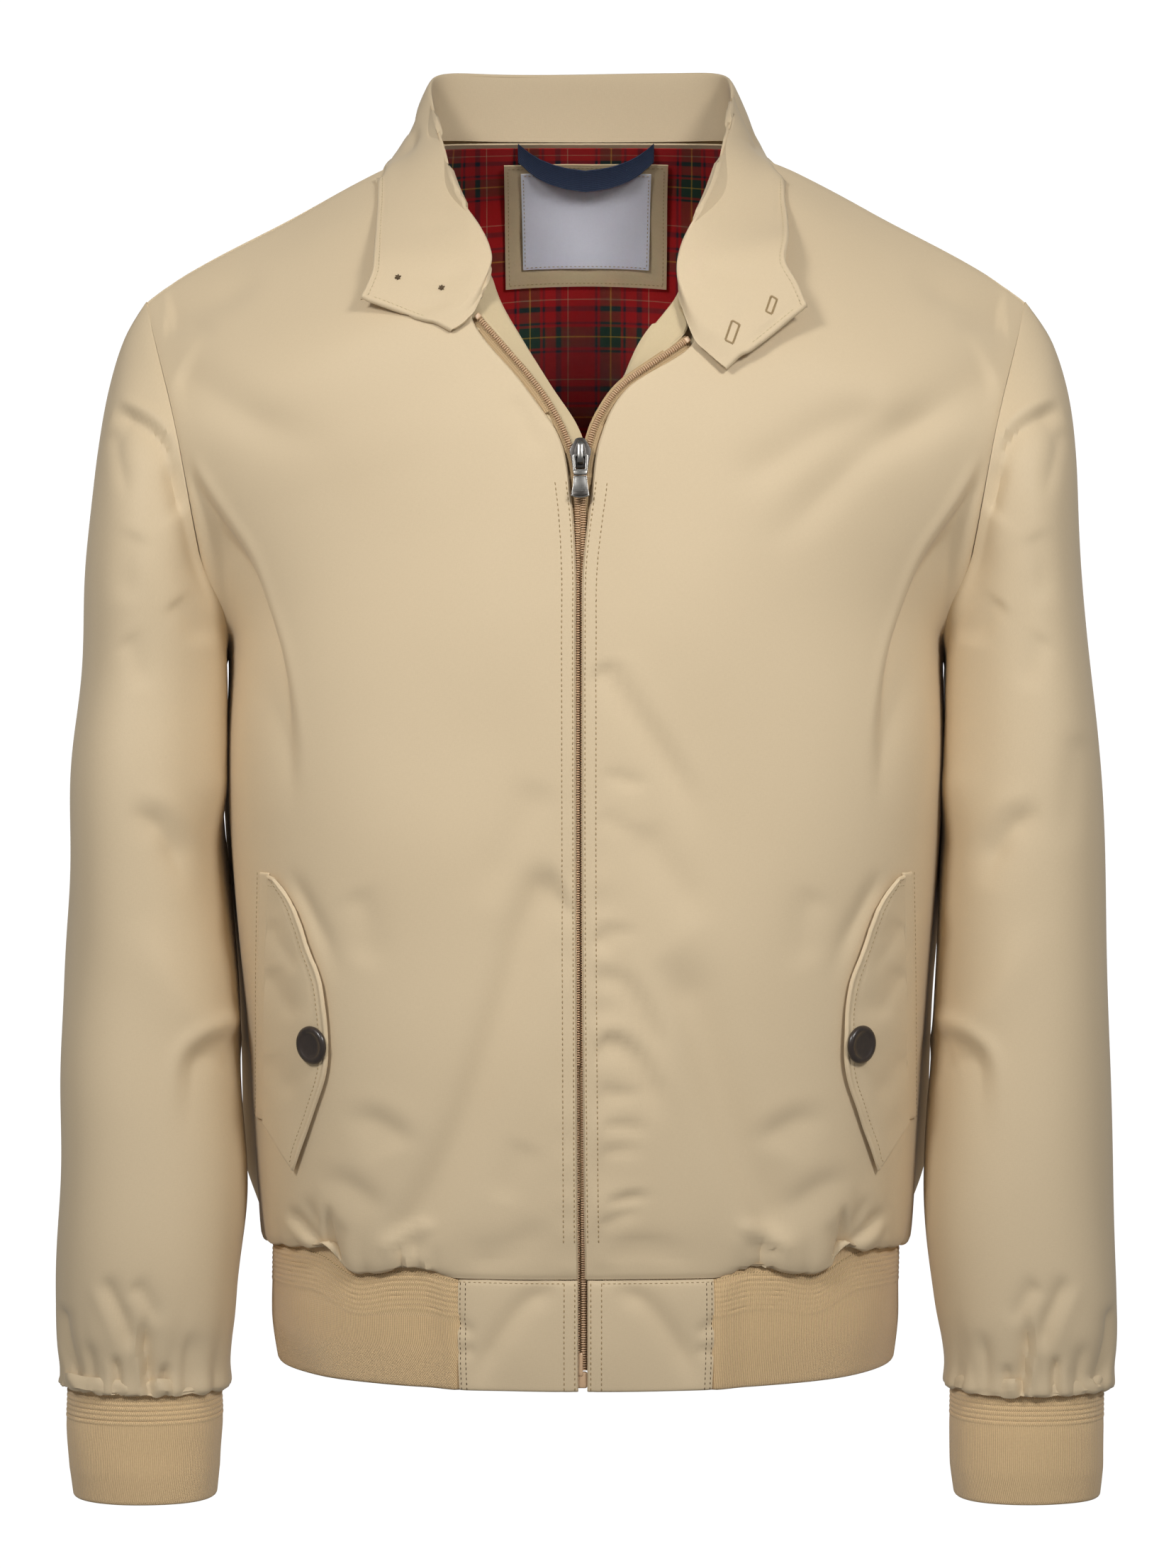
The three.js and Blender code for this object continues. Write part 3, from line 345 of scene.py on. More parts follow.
# Stitch matrices along a line on cloth.
def stitchLine(points, normals, pitch=2.7, size=(0.95, 0.3, 0.22), lift=0.05, lean=0.0):
    place, way, normal = alongLine(points, normals, pitch)
    found = []
    for p, w, n in zip(place, way, normal):
        tilted = w + np.cross(n, w) * lean
        found.append(placed(p + n * lift, tilted, n, size))
    return found


# Materials.

def linear(red, green, blue):
    def channel(value):
        c = value / 255
        return c / 12.92 if c <= 0.04045 else ((c + 0.055) / 1.055) ** 2.4
    return (channel(red), channel(green), channel(blue), 1.0)


# A shader socket that can be written into sums.
class Shade:
    def __init__(self, tree, socket):
        self.tree = tree
        self.socket = socket

    def maths(self, operation, first, second=None):
        node = self.tree.nodes.new("ShaderNodeMath")
        node.operation = operation
        for slot, value in zip(node.inputs, (first, second)):
            if value is not None:
                fill(self.tree, slot, value)
        return Shade(self.tree, node.outputs[0])

    def __add__(self, other):
        return self.maths("ADD", self, other)

    def __radd__(self, other):
        return self.maths("ADD", other, self)

    def __sub__(self, other):
        return self.maths("SUBTRACT", self, other)

    def __rsub__(self, other):
        return self.maths("SUBTRACT", other, self)

    def __mul__(self, other):
        return self.maths("MULTIPLY", self, other)

    def __rmul__(self, other):
        return self.maths("MULTIPLY", other, self)

    def __truediv__(self, other):
        return self.maths("DIVIDE", self, other)

    def sine(self):
        return self.maths("SINE", self)

    def part(self):
        return self.maths("FRACT", self)

    def over(self, level):
        return self.maths("GREATER_THAN", self, level)


def fill(tree, slot, value):
    if isinstance(value, Shade):
        tree.links.new(value.socket, slot)
    else:
        slot.default_value = value


# A material under construction: its surface socket values, then nodes added by type.
class Finish:
    def __init__(self, name, **surface):
        self.material = bpy.data.materials.new(name)
        self.material.use_nodes = True
        self.tree = self.material.node_tree
        self.surface = self.tree.nodes["Principled BSDF"]
        for socket, value in surface.items():
            self.surface.inputs[socket.replace("_", " ")].default_value = value

    def node(self, kind, output=0, settings=None, **inputs):
        node = self.tree.nodes.new(kind)
        for setting, value in (settings or {}).items():
            setattr(node, setting, value)
        for socket, value in inputs.items():
            key = int(socket[1:]) if socket[0] == "n" and socket[1:].isdigit() else socket.replace("_", " ")
            fill(self.tree, node.inputs[key], value)
        return Shade(self.tree, node.outputs[output])

    def cloth(self):
        place = self.node("ShaderNodeUVMap", settings={"uv_map": "cloth"})
        split = self.node("ShaderNodeSeparateXYZ", n0=place)
        return place, split, Shade(self.tree, split.socket.node.outputs[1])

    def place(self):
        return self.node("ShaderNodeTexCoord", output="Object")

    def noise(self, where, scale, detail=2.0, roughness=0.5):
        return self.node("ShaderNodeTexNoise", Vector=where, Scale=scale, Detail=detail, Roughness=roughness)

    def stretched(self, where, x, y, z=1.0):
        return self.node("ShaderNodeVectorMath", settings={"operation": "MULTIPLY"}, n0=where, n1=(x, y, z))

    def blend(self, amount, first, second, kind="MIX"):
        node = self.tree.nodes.new("ShaderNodeMix")
        node.data_type = "RGBA"
        node.blend_type = kind
        colours = [s for s in node.inputs if s.type == "RGBA"]
        fill(self.tree, node.inputs[0], amount)
        fill(self.tree, colours[0], first)
        fill(self.tree, colours[1], second)
        return Shade(self.tree, [s for s in node.outputs if s.type == "RGBA"][0])

    def bump(self, height, distance, strength=1.0, below=None):
        inputs = {"Height": height, "Distance": distance, "Strength": strength}
        if below is not None:
            inputs["Normal"] = below
        return self.node("ShaderNodeBump", **inputs)

    def put(self, socket, value):
        fill(self.tree, self.surface.inputs[socket], value)


def shellFinish(name, base, dark):
    finish = Finish(name, Roughness=0.62, Specular_IOR_Level=0.32, Sheen_Weight=0.12, Sheen_Roughness=0.5)
    place = finish.cloth()[0]
    warp = finish.noise(finish.stretched(place, 2600, 420), 1.0, 2.0, 0.6)
    weft = finish.noise(finish.stretched(place, 420, 2600), 1.0, 2.0, 0.6)
    thread = warp + weft
    cloudy = finish.noise(finish.place(), 9.0, 3.0, 0.55)
    tone = clean((thread - 1.0) * 0.55 + (cloudy - 0.5) * 0.5 + 0.35)
    finish.put("Base Color", finish.blend(tone, base, dark))
    finish.put("Normal", finish.bump(thread, 0.00012, 0.35))
    return finish.material


def clean(value):
    node = value.tree.nodes.new("ShaderNodeClamp")
    value.tree.links.new(value.socket, node.inputs[0])
    return Shade(value.tree, node.outputs[0])


def ribFinish(name, base, dark):
    finish = Finish(name, Roughness=0.85, Specular_IOR_Level=0.2, Sheen_Weight=0.25, Sheen_Roughness=0.6)
    place, across, down = finish.cloth()
    rib = (across * (2 * math.pi / 0.00105)).sine() * 0.5 + 0.5
    loops = (down * (2 * math.pi / 0.0008)).sine() * 0.5 + 0.5
    grain = finish.noise(finish.stretched(place, 900, 900), 1.0, 3.0, 0.6)
    # Painted shade: the colour darkens in the grooves between the wales, with random grain mixed in.
    grooveShadeAndGrain = clean((1.0 - rib) * 0.55 + (grain - 0.5) * 0.5 + 0.08)
    finish.put("Base Color", finish.blend(grooveShadeAndGrain, base, dark))
    finish.put("Normal", finish.bump(rib + loops * 0.15 + grain * 0.3, 0.00035, 0.8))
    return finish.material


# A tartan of its own: the same bands of colour in both directions, crossed in a fine twill.
def tartanFinish(name, repeat):
    finish = Finish(name, Roughness=0.55, Specular_IOR_Level=0.3, Sheen_Weight=0.1)
    across, down = finish.cloth()[1:]
    red, dark, green = linear(176, 20, 24), linear(30, 30, 44), linear(28, 58, 44)
    yellow, pale = linear(196, 160, 60), linear(190, 150, 120)
    stops = [
        (0.0, red), (0.14, dark), (0.17, red), (0.20, green), (0.325, yellow), (0.34, green),
        (0.46, red), (0.49, dark), (0.52, red), (0.655, dark), (0.72, red), (0.80, pale), (0.812, red),
    ]

    def bands(way):
        node = finish.tree.nodes.new("ShaderNodeValToRGB")
        ramp = node.color_ramp
        ramp.interpolation = "CONSTANT"
        ramp.elements[0].position = stops[0][0]
        ramp.elements[0].color = stops[0][1]
        ramp.elements[1].position = stops[1][0]
        ramp.elements[1].color = stops[1][1]
        for position, colour in stops[2:]:
            ramp.elements.new(position).color = colour
        fill(finish.tree, node.inputs[0], (way / repeat + 100.03).part())
        return Shade(finish.tree, node.outputs[0])

    twill = ((across + down) / 0.0011 + 100.0).part().over(0.5)
    finish.put("Base Color", finish.blend(twill, bands(across), bands(down)))
    finish.put("Normal", finish.bump(twill, 0.00005, 0.3))
    return finish.material


def plainFinish(name, colour, grain=0.0, **surface):
    finish = Finish(name, **surface)
    if grain:
        speck = finish.noise(finish.place(), 700.0, 3.0, 0.6)
        dark = tuple(c * (1 - grain) for c in colour[:3]) + (1.0,)
        finish.put("Base Color", finish.blend(speck, colour, dark))
        finish.put("Normal", finish.bump(speck, 0.0001, 0.4))
    else:
        finish.put("Base Color", colour)
    return finish.material


def tapeFinish(name, base, dark):
    finish = Finish(name, Roughness=0.75, Specular_IOR_Level=0.25)
    across, down = finish.cloth()[1:]
    ridge = (across * (2 * math.pi / 0.0011)).sine() * 0.5 + 0.5
    cross = (down * (2 * math.pi / 0.0009)).sine() * 0.5 + 0.5
    finish.put("Base Color", finish.blend(ridge * 0.45 + cross * 0.2, base, dark))
    finish.put("Normal", finish.bump(ridge + cross * 0.4, 0.0002, 0.6))
    return finish.material


def hornFinish(name):
    finish = Finish(name, Roughness=0.34, Specular_IOR_Level=0.5, Coat_Weight=0.25, Coat_Roughness=0.15)
    cloudy = finish.noise(finish.stretched(finish.place(), 160, 420, 160), 1.0, 3.0, 0.6)
    finish.put("Base Color", finish.blend(cloudy, linear(34, 29, 27), linear(66, 54, 46)))
    return finish.material


def metalFinish(name, base, dark, roughness):
    finish = Finish(name, Metallic=1.0, Roughness=roughness)
    worn = finish.noise(finish.place(), 420.0, 4.0, 0.65)
    finish.put("Base Color", finish.blend(worn, base, dark))
    finish.put("Roughness", worn * 0.25 + (roughness - 0.1))
    return finish.material


shellCloth = shellFinish("shell_cloth", linear(218, 197, 163), linear(206, 184, 149))
shellInside = shellFinish("facing_cloth", linear(210, 190, 152), linear(196, 176, 138))
ribKnit = ribFinish("rib_knit", linear(236, 203, 154), linear(194, 159, 112))
# Painted light: the cuffs take a lighter copy of the same rib knit, brightened where they fall in shade.
cuffKnitPaintedLight = ribFinish("cuff_knit_painted_light", linear(251, 217, 166), linear(210, 173, 124))
tartan = tartanFinish("tartan_lining", 0.045)
zipTape = tapeFinish("zip_tape", linear(196, 168, 128), linear(160, 132, 94))
coilPlastic = plainFinish("coil_plastic", linear(208, 174, 138), Roughness=0.35, Specular_IOR_Level=0.5)
sliderMetal = metalFinish("slider_metal", linear(92, 88, 84), linear(46, 44, 43), 0.34)
pullMetal = metalFinish("pull_metal", linear(170, 168, 164), linear(120, 117, 112), 0.28)
horn = hornFinish("horn")
tanThread = plainFinish("tan_thread", linear(176, 150, 108), grain=0.25, Roughness=0.8)
paleThread = plainFinish("pale_thread", linear(214, 196, 158), grain=0.2, Roughness=0.8)
brownThread = plainFinish("brown_thread", linear(96, 76, 50), grain=0.3, Roughness=0.8)
labelSatin = plainFinish("label_satin", linear(228, 230, 240), grain=0.06, Roughness=0.45, Sheen_Weight=0.2)
navyTape = tapeFinish("navy_tape", linear(52, 64, 88), linear(34, 42, 62))
print("materials made")


# The body.

rows = {"underarm": 7, "shoulder": 16}
frontTable = table(
    ["leftX", "leftZ", "rightX", "rightZ", "edgeY", "turn"],
    [
        [-0.6, -579.5, 3.9, -579.5, -124, 90],
        [-0.6, -568, 4.0, -568, -126, 90],
        [-1.0, -545, 4.2, -545, -129.5, 90],
        [-1.4, -500, 4.4, -500, -132.5, 90],
        [-1.9, -435, 4.6, -435, -134.5, 90],
        [-2.2, -365, 4.8, -365, -136, 90],
        [-2.2, -305, 4.9, -305, -137.5, 90],
        [-2.1, -250, 5.0, -250, -137.5, 90],
        [-1.6, -214, 5.0, -214, -136, 73],
        [2.6, -178, 7.4, -178, -133, 62],
        [7.3, -148, 13.4, -148, -128, 54],
        [21, -122.5, 31, -121.5, -121, 48],
        [55, -98.5, 58, -87, -109, 40],
        [47.5, -73, 50, -63, -97, 34],
        [60, -44, 61, -42, -72, 28],
        [78, -13, 78, -13, -38, 24],
        [88, 4, 88, 4, -8, 20],
    ],
)
sideTable = table(
    ["x", "z", "frontY", "backY", "centreBackY", "centreBackZ"],
    [
        [172.5, -579.5, 0, 0, 119, -579.5],
        [173.8, -568, 0, 0, 121, -568],
        [176.2, -545, 0, 0, 123.5, -545],
        [178.4, -500, 0, 0, 125.5, -500],
        [183, -437, -1, -1, 126, -435],
        [188.6, -369, -2, -2, 127.5, -365],
        [191.6, -312, -4, -4, 129, -305],
        [191, -262, -5, -5, 130, -252],
        [194.5, -247, -30, 27, 130, -222],
        [199, -225, -48, 47, 130, -192],
        [203.5, -199, -60, 61, 129, -160],
        [208, -172, -66, 69, 126, -128],
        [212.5, -148, -65, 70, 121, -96],
        [217.5, -128, -55, 61, 113, -64],
        [223, -110, -40, 46, 102, -36],
        [228.5, -93, -23, 22, 86, -8],
        [234, -76, -6, -6, 63, 16],
    ],
)
roundness = 2 / 2.3
neckBack = {"reach": 0.42, "square": 2.8}
hem = {"seam": -579.5, "inset": 4.5, "fold": 2.4, "tuck": 5, "tab": 66}
hemWave = table(
    ["front", "back"],
    [
        [-579.5, -577], [-579.5, -580], [-579.5, -576], [-579, -576.5], [-577, -580.5],
        [-578, -578], [-581.5, -574.5], [-572.5, -579], [-573, -580], [-577, -577],
    ],
)


def onRib(x, y):
    return np.where(y > 0, 1.0, smooth(hem["tab"] - 1, hem["tab"] + 21, np.abs(x)))


def seamHeight(x, y):
    wave = hemWave(np.abs(x) / 20)
    return mix(hem["seam"], mix(wave["front"], wave["back"], smooth(-30, 30, y)), onRib(x, y))


# The last rows drop to the gathered seam, then roll under and in to meet the rib.
def withHem(p, v):
    x, y, z = p[..., 0], p[..., 1], p[..., 2]
    ribbed = onRib(x, y)
    z = mix(z, seamHeight(x, y) + hem["fold"], ribbed * smooth(2.4, 1, v))
    turn = clamp01(1 - v) * math.radians(150)
    z = z - ribbed * hem["fold"] * np.sin(turn)
    inward = ribbed * hem["fold"] * (1 - np.cos(turn))
    shrink = 1 - inward / np.hypot(x, y)
    return xyz(x * shrink, y * shrink, z)


# The shoulder line swells towards its tips.
def swollen(p):
    x, y, z = p[..., 0], p[..., 1], p[..., 2]
    return xyz(x, y, z + 3.8 * smooth(150, 215, np.abs(x)) * smooth(-96, -62, z))


# Rows of points averaged down the cloth over a few rows each way, by a share for each point.
def eased(points, reach, share):
    weights = np.exp(-np.linspace(-3, 3, 6 * reach + 1) ** 2 / 2)
    weights /= weights.sum()
    before = 2 * points[:1] - points[3 * reach:0:-1]
    after = 2 * points[-1:] - points[-2:-3 * reach - 2:-1]
    padded = np.concatenate([before, points, after])
    soft = sum(w * padded[k:k + len(points)] for k, w in enumerate(weights))
    return mix(points, soft, share[..., None])


def frontSurface(side, u, v):
    edge, seam = frontTable(v), sideTable(v)
    edgeX = edge["leftX"] if side > 0 else -edge["rightX"]
    edgeZ = edge["leftZ"] if side > 0 else edge["rightZ"]
    turn = np.radians(np.minimum(edge["turn"], 90))
    end = np.maximum(np.cos(turn), 0) ** roundness
    across = (np.sin(u * turn) / np.sin(turn)) ** roundness
    bulge = (np.maximum(np.cos(u * turn), 0) ** roundness - end) / (1 - end)
    p = xyz(
        mix(edgeX, side * seam["x"], across),
        mix(seam["frontY"], edge["edgeY"], bulge),
        mix(edgeZ, seam["z"], across ** 1.15),
    )
    return withHem(p, v)


def topOfBack(u):
    reach = np.abs(u) / neckBack["reach"]
    centre = sideTable(16.0)
    neck = frontSurface(1, np.array(0.0), np.array(16.0))
    drop = np.maximum(0, np.cos(np.minimum(reach, 1) * math.pi / 2))
    rise = np.sin(np.minimum(reach, 1) * math.pi / 2)
    onNeck = xyz(
        neck[0] * rise ** (2 / neckBack["square"]),
        mix(neck[1], centre["centreBackY"], drop ** (2 / neckBack["square"])),
        mix(neck[2], centre["centreBackZ"], drop ** 0.4),
    )
    onto = clamp01((np.abs(u) - neckBack["reach"]) / (1 - neckBack["reach"]))
    onShoulder = frontSurface(1, onto, np.full(np.shape(u), 16.0))
    return np.where((reach > 1)[..., None], onShoulder, onNeck)


def backSurface(u, v):
    angle = np.abs(u) * math.pi / 2
    low = np.stack([
        np.sin(angle) ** roundness,
        1 - np.maximum(0, np.cos(angle)) ** roundness,
        np.sin(angle) ** (2 * roundness),
    ], axis=-1)
    centre, tip = topOfBack(np.array(0.0)), topOfBack(np.array(1.0))
    top = topOfBack(u)
    risen = [(top[..., k] - centre[k]) / (tip[k] - centre[k]) for k in (1, 2)]
    high = np.stack([top[..., 0] / tip[0], *risen], axis=-1)
    climb = clamp01((v - rows["underarm"]) / (rows["shoulder"] - rows["underarm"])) ** 2.2
    share = mix(low, high, climb[..., None])
    seam = sideTable(v)
    p = xyz(
        np.sign(u) * seam["x"] * share[..., 0],
        mix(seam["centreBackY"], seam["backY"], share[..., 1]),
        mix(seam["centreBackZ"], seam["z"], share[..., 2]),
    )
    return withHem(p, v)


# Row positions that lie evenly along a line of the surface.
def evenRows(line, start, end, count):
    fine = np.linspace(start, end, 600)
    p = line(fine)
    total = np.concatenate([[0], np.cumsum(length(np.diff(p, axis=0)))])
    return np.interp(np.linspace(0, total[-1], count), total, fine)


bodyRows = np.concatenate([
    np.linspace(0, 1, 10)[:-1],
    evenRows(lambda v: frontSurface(1, np.full_like(v, 0.55), v), 1, 16, 210),
])

# Creases of both fronts, as |x| and z. "left" is the flank on the left of the way a crease runs,
# with |x| to the right and z up, and it may carry a lip.
sharedCreases = [
    dict(path=[(151, -352), (152, -325), (154, -302), (157, -285), (161, -266), (165, -252),
               (171, -236), (176, -221), (182, -208), (191, -195), (200, -181), (207, -169), (213, -156)],
         depth=4.4, left=3.8, right=6.5, lip=1.1, edge=1.4, fade=(0.5, 0.12)),
    dict(path=[(152, -340), (156, -300), (164, -262), (177, -226), (194, -200), (206, -180)],
         depth=7.5, left=5, right=23, edge=1.6, fade=(0.5, 0.3)),
    dict(path=[(214, -111), (200, -120), (185, -130), (169, -139), (148, -147), (120, -158)],
         depth=3.0, left=13, right=13, edge=1.8, fade=(0.1, 0.5)),
    dict(path=[(222, -80), (203, -76), (186, -70), (168, -58)],
         depth=2.2, left=9, right=9, edge=1.8, fade=(0.1, 0.4)),
    dict(path=[(223, -88), (209, -88), (192, -91)], depth=1.6, left=5, right=6, edge=1.6, fade=(0.1, 0.5)),
    dict(path=[(92, -514), (98, -505), (111, -499), (127, -503)],
         depth=2.0, left=6, right=14, lip=0.3, edge=1.7, fade=(0.4, 0.4)),
    dict(path=[(104, -548), (113, -540), (126, -533), (141, -535)],
         depth=1.7, left=6, right=11, lip=0.2, edge=1.7, fade=(0.4, 0.4)),
    dict(path=[(134, -545), (135.5, -556), (135, -566), (134, -578)],
         depth=4.6, left=2.4, right=2.6, lip=1.0, edge=1.3, fade=(0.35, 0.02)),
    dict(path=[(157, -550), (149, -559), (141, -567), (137, -578)],
         depth=3.4, left=3, right=4.5, lip=0.9, edge=1.4, fade=(0.25, 0.02)),
    dict(path=[(150, -541), (143, -552), (138, -564), (136, -576)],
         depth=2.0, left=4, right=4, edge=1.5, fade=(0.35, 0.02)),
    dict(path=[(127, -552), (130, -562), (133, -576)],
         depth=1.8, left=3, right=4, edge=1.4, fade=(0.4, 0.02)),
    dict(path=[(78, -556), (84, -553.5), (93, -556), (101, -562), (107, -569)],
         depth=-2.2, left=3, right=3.5, edge=1.5, fade=(0.25, 0.25)),
    dict(path=[(99, -563), (97, -569), (96, -579)],
         depth=3.0, left=1.8, right=2.2, edge=1.4, fade=(0.3, 0.02)),
    dict(path=[(92, -560), (91, -568), (90, -579)],
         depth=3.2, left=1.8, right=2.2, edge=1.4, fade=(0.3, 0.02)),
    dict(path=[(86, -559), (86, -568), (86, -579)],
         depth=2.8, left=1.7, right=2.0, edge=1.4, fade=(0.3, 0.02)),
    dict(path=[(79, -562), (79.5, -570), (80, -579)],
         depth=2.2, left=1.7, right=2.0, edge=1.4, fade=(0.4, 0.02)),
    dict(path=[(120, -380), (113, -392), (112, -408), (116, -420)], depth=1.4, left=8, right=9, edge=1.8),
    dict(path=[(154, -369), (147, -383), (140, -396), (133, -411), (126, -431)],
         depth=2.0, left=4, right=5.5, edge=1.7, fade=(0.3, 0.4)),
]
frontCreases = {
    -1: sharedCreases + [
        dict(path=[(12, -370), (22, -378), (31, -398), (38, -424), (46, -450), (56, -480), (67, -508),
                   (80, -534), (92, -554), (101, -568)],
             depth=5.2, left=9, right=15, edge=1.9, fade=(0.12, 0.12)),
        dict(path=[(22, -322), (33, -345), (43, -366), (50, -390)], depth=1.6, left=9, right=9, edge=1.8),
        dict(path=[(60, -572), (44, -566), (30, -558), (20, -546)], depth=1.6, left=8, right=8, edge=1.8),
        dict(path=[(30, -508), (38, -524), (44, -540)], depth=1.2, left=7, right=7, edge=1.8),
        dict(path=[(34, -112), (24, -128), (17, -144)], depth=1.6, left=3, right=4, edge=1.5),
        dict(path=[(38, -128), (30, -142), (24, -158)], depth=1.2, left=4, right=5, edge=1.6),
    ],
    1: sharedCreases + [
        dict(path=[(38, -410), (49, -427), (57, -447), (63, -468), (71, -493), (81, -517),
                   (93, -541), (104, -566)],
             depth=5.0, left=15, right=9, edge=1.9, fade=(0.2, 0.12)),
        dict(path=[(8, -262), (15, -273), (25, -288), (36, -304), (47, -322), (54, -338), (57, -356)],
             depth=2.6, left=5, right=7, lip=0.6, edge=1.5, fade=(0.1, 0.45)),
        dict(path=[(26, -345), (38, -362), (50, -380), (56, -400)], depth=1.8, left=8, right=9, edge=1.8),
        dict(path=[(196, -124), (172, -140), (148, -153), (127, -172), (106, -192), (84, -204)],
             depth=2.6, left=10, right=13, edge=1.7),
        dict(path=[(158, -128), (122, -144), (96, -160), (70, -174)], depth=2.4, left=11, right=12, edge=1.8),
        dict(path=[(7, -397), (16, -399), (27, -403)],
             depth=1.5, left=2.5, right=3.5, edge=1.5, fade=(0.15, 0.5)),
        dict(path=[(8, -400), (13, -410), (21, -421)],
             depth=1.6, left=3, right=4, edge=1.5, fade=(0.15, 0.5)),
        dict(path=[(9, -417), (20, -428), (29, -441), (35, -456), (38, -474)],
             depth=2.4, left=5, right=7, lip=0.5, edge=1.5),
        dict(path=[(8, -453), (18, -458), (27, -466), (34, -480), (38, -500)],
             depth=2.8, left=4, right=7, lip=0.7, edge=1.5, fade=(0.1, 0.3)),
        dict(path=[(11, -316), (20, -322), (32, -325)],
             depth=1.5, left=3, right=4, edge=1.6, fade=(0.2, 0.4)),
        dict(path=[(9, -338), (18, -346), (28, -350)], depth=1.1, left=3, right=5, edge=1.6),
        dict(path=[(9, -480), (18, -483), (30, -482)],
             depth=1.4, left=3, right=4, edge=1.6, fade=(0.15, 0.4)),
        dict(path=[(9, -500), (20, -499), (34, -503)],
             depth=1.5, left=3, right=4, edge=1.6, fade=(0.15, 0.4)),
        dict(path=[(9, -514), (18, -511), (29, -514)],
             depth=1.3, left=2.5, right=3.5, edge=1.6, fade=(0.15, 0.4)),
        dict(path=[(14, -540), (22, -536), (32, -537)],
             depth=1.9, left=2.5, right=4, lip=0.5, edge=1.5, fade=(0.2, 0.4)),
        dict(path=[(8, -552), (18, -546), (28, -545)],
             depth=1.4, left=3, right=4, edge=1.6, fade=(0.15, 0.4)),
        dict(path=[(10, -568), (24, -562), (40, -564), (58, -573)], depth=1.6, left=5, right=6, edge=1.7),
    ],
}


# The share of one gather at a gap from its line: it widens and fades as it climbs.
def gather(gap, above, wide, tall, opening):
    return np.exp(-np.abs(gap / (wide * (1 + above / opening))) ** 1.7) * np.exp(-(above / tall) ** 1.5)


# Vertical gathers above the ribbed hem: ridges and troughs of many lengths.
def hemGathers(x, y, z, seed):
    rng = np.random.default_rng(seed)
    angle = np.arctan2(y, x)
    reach = np.hypot(x, y)
    above = np.maximum(z - seamHeight(x, y), 0)
    total = np.zeros_like(x)
    for k in range(54):
        middle = -math.pi + 2 * math.pi * (k + rng.uniform(0.1, 0.9)) / 54
        tall, depth = rng.uniform(10, 42), rng.uniform(0.4, 1.9)
        lean, wide = rng.uniform(-0.25, 0.25), rng.uniform(3.0, 6.5)
        gap = (np.mod(angle - middle + math.pi, 2 * math.pi) - math.pi) * reach - lean * above
        total -= depth * gather(gap, above, wide, tall, 45)
    return total * onRib(x, y)


def seamDip(distance, depth=0.9, reach=2.4):
    return -depth * np.exp(-(distance / reach) ** 2)


# The front panels, creased, with the zip edge rolled and the seams drawn in.
def frontGrid(side):
    us = np.concatenate([[0, 0.0016, 0.004, 0.007, 0.011, 0.016, 0.022], np.linspace(0.03, 0.5, 34)[:-1],
                         np.linspace(0.5, 0.985, 58), [0.991, 0.996, 1.0]])
    u, v = np.meshgrid(us, bodyRows)
    share = smooth(0, 0.15, u) * smooth(0.985, 0.86, u) * smooth(3, 5, v) * smooth(10.5, 8.8, v)
    grid = Grid(swollen(eased(frontSurface(side, u, v), 8, share)), side)
    p = grid.points
    x, y, z = np.abs(p[..., 0]), p[..., 1], p[..., 2]
    relief = sum(crease(x, z, **fold) for fold in frontCreases[side]) * smooth(1.0, 0.93, u)
    relief += hemGathers(p[..., 0], y, z, 11 + side)
    relief += unevenness(p, 21 + side, 90, 260) * 0.9 * smooth(0, 0.12, u) * smooth(1, 0.85, u)
    pucker = np.sin(z / 3.9 + 3 * np.sin(z / 31 + side)) + 0.7 * np.sin(z / 7.3 + side)
    placket = bump(x, 9.5, 6.5) * smooth(-300, -440, z) * (0.5 if side > 0 else 0.2)
    relief += pucker * placket * smooth(hem["seam"], -572, z)
    toSide, toZip = grid.across(fromEnd=True), grid.across()
    relief += seamDip(toSide, 0.3, 1.6) * (v > 1) + seamDip(grid.down(fromEnd=True), 0.7) * (v > 1)
    relief -= rolled(toZip, 1.7)
    relief += (1 - onRib(x, y)) * seamDip(z - hem["seam"], 0.7, 1.8)
    relief -= 0.35 * (bump(toZip, 2.6, 0.7) + bump(toZip, 8.2, 0.7)) * smooth(-150, -175, z)
    return grid.moved(relief)


# Troughs on the back: drags from the armholes and slack above the hem.
backCreases = [
    dict(path=[(205, -150), (180, -196), (166, -250), (160, -320)],
         depth=5.5, left=9, right=26, lip=1.2, edge=1.4, fade=(0.1, 0.5)),
    dict(path=[(214, -118), (180, -136), (130, -148)], depth=2.4, left=20, right=24, edge=1.8),
    dict(path=[(120, -470), (90, -500), (50, -520)], depth=2.4, left=18, right=18, edge=1.8),
    dict(path=[(160, -500), (140, -530), (120, -560)], depth=3.2, left=12, right=14, edge=1.6),
    dict(path=[(60, -540), (66, -556), (64, -576)], depth=2.6, left=8, right=8, edge=1.5, fade=(0.4, 0.02)),
    dict(path=[(196, -170), (160, -206), (118, -226), (70, -236)],
         depth=3.0, left=16, right=22, edge=1.8, fade=(0.1, 0.5)),
    dict(path=[(168, -330), (140, -372), (104, -398), (64, -408)], depth=3.2, left=14, right=20, edge=1.8),
    dict(path=[(40, -430), (76, -462), (104, -506), (122, -556)],
         depth=3.4, left=12, right=18, edge=1.8, fade=(0.25, 0.15)),
    dict(path=[(14, -500), (24, -530), (28, -560), (26, -578)],
         depth=2.6, left=10, right=12, edge=1.7, fade=(0.4, 0.05)),
]


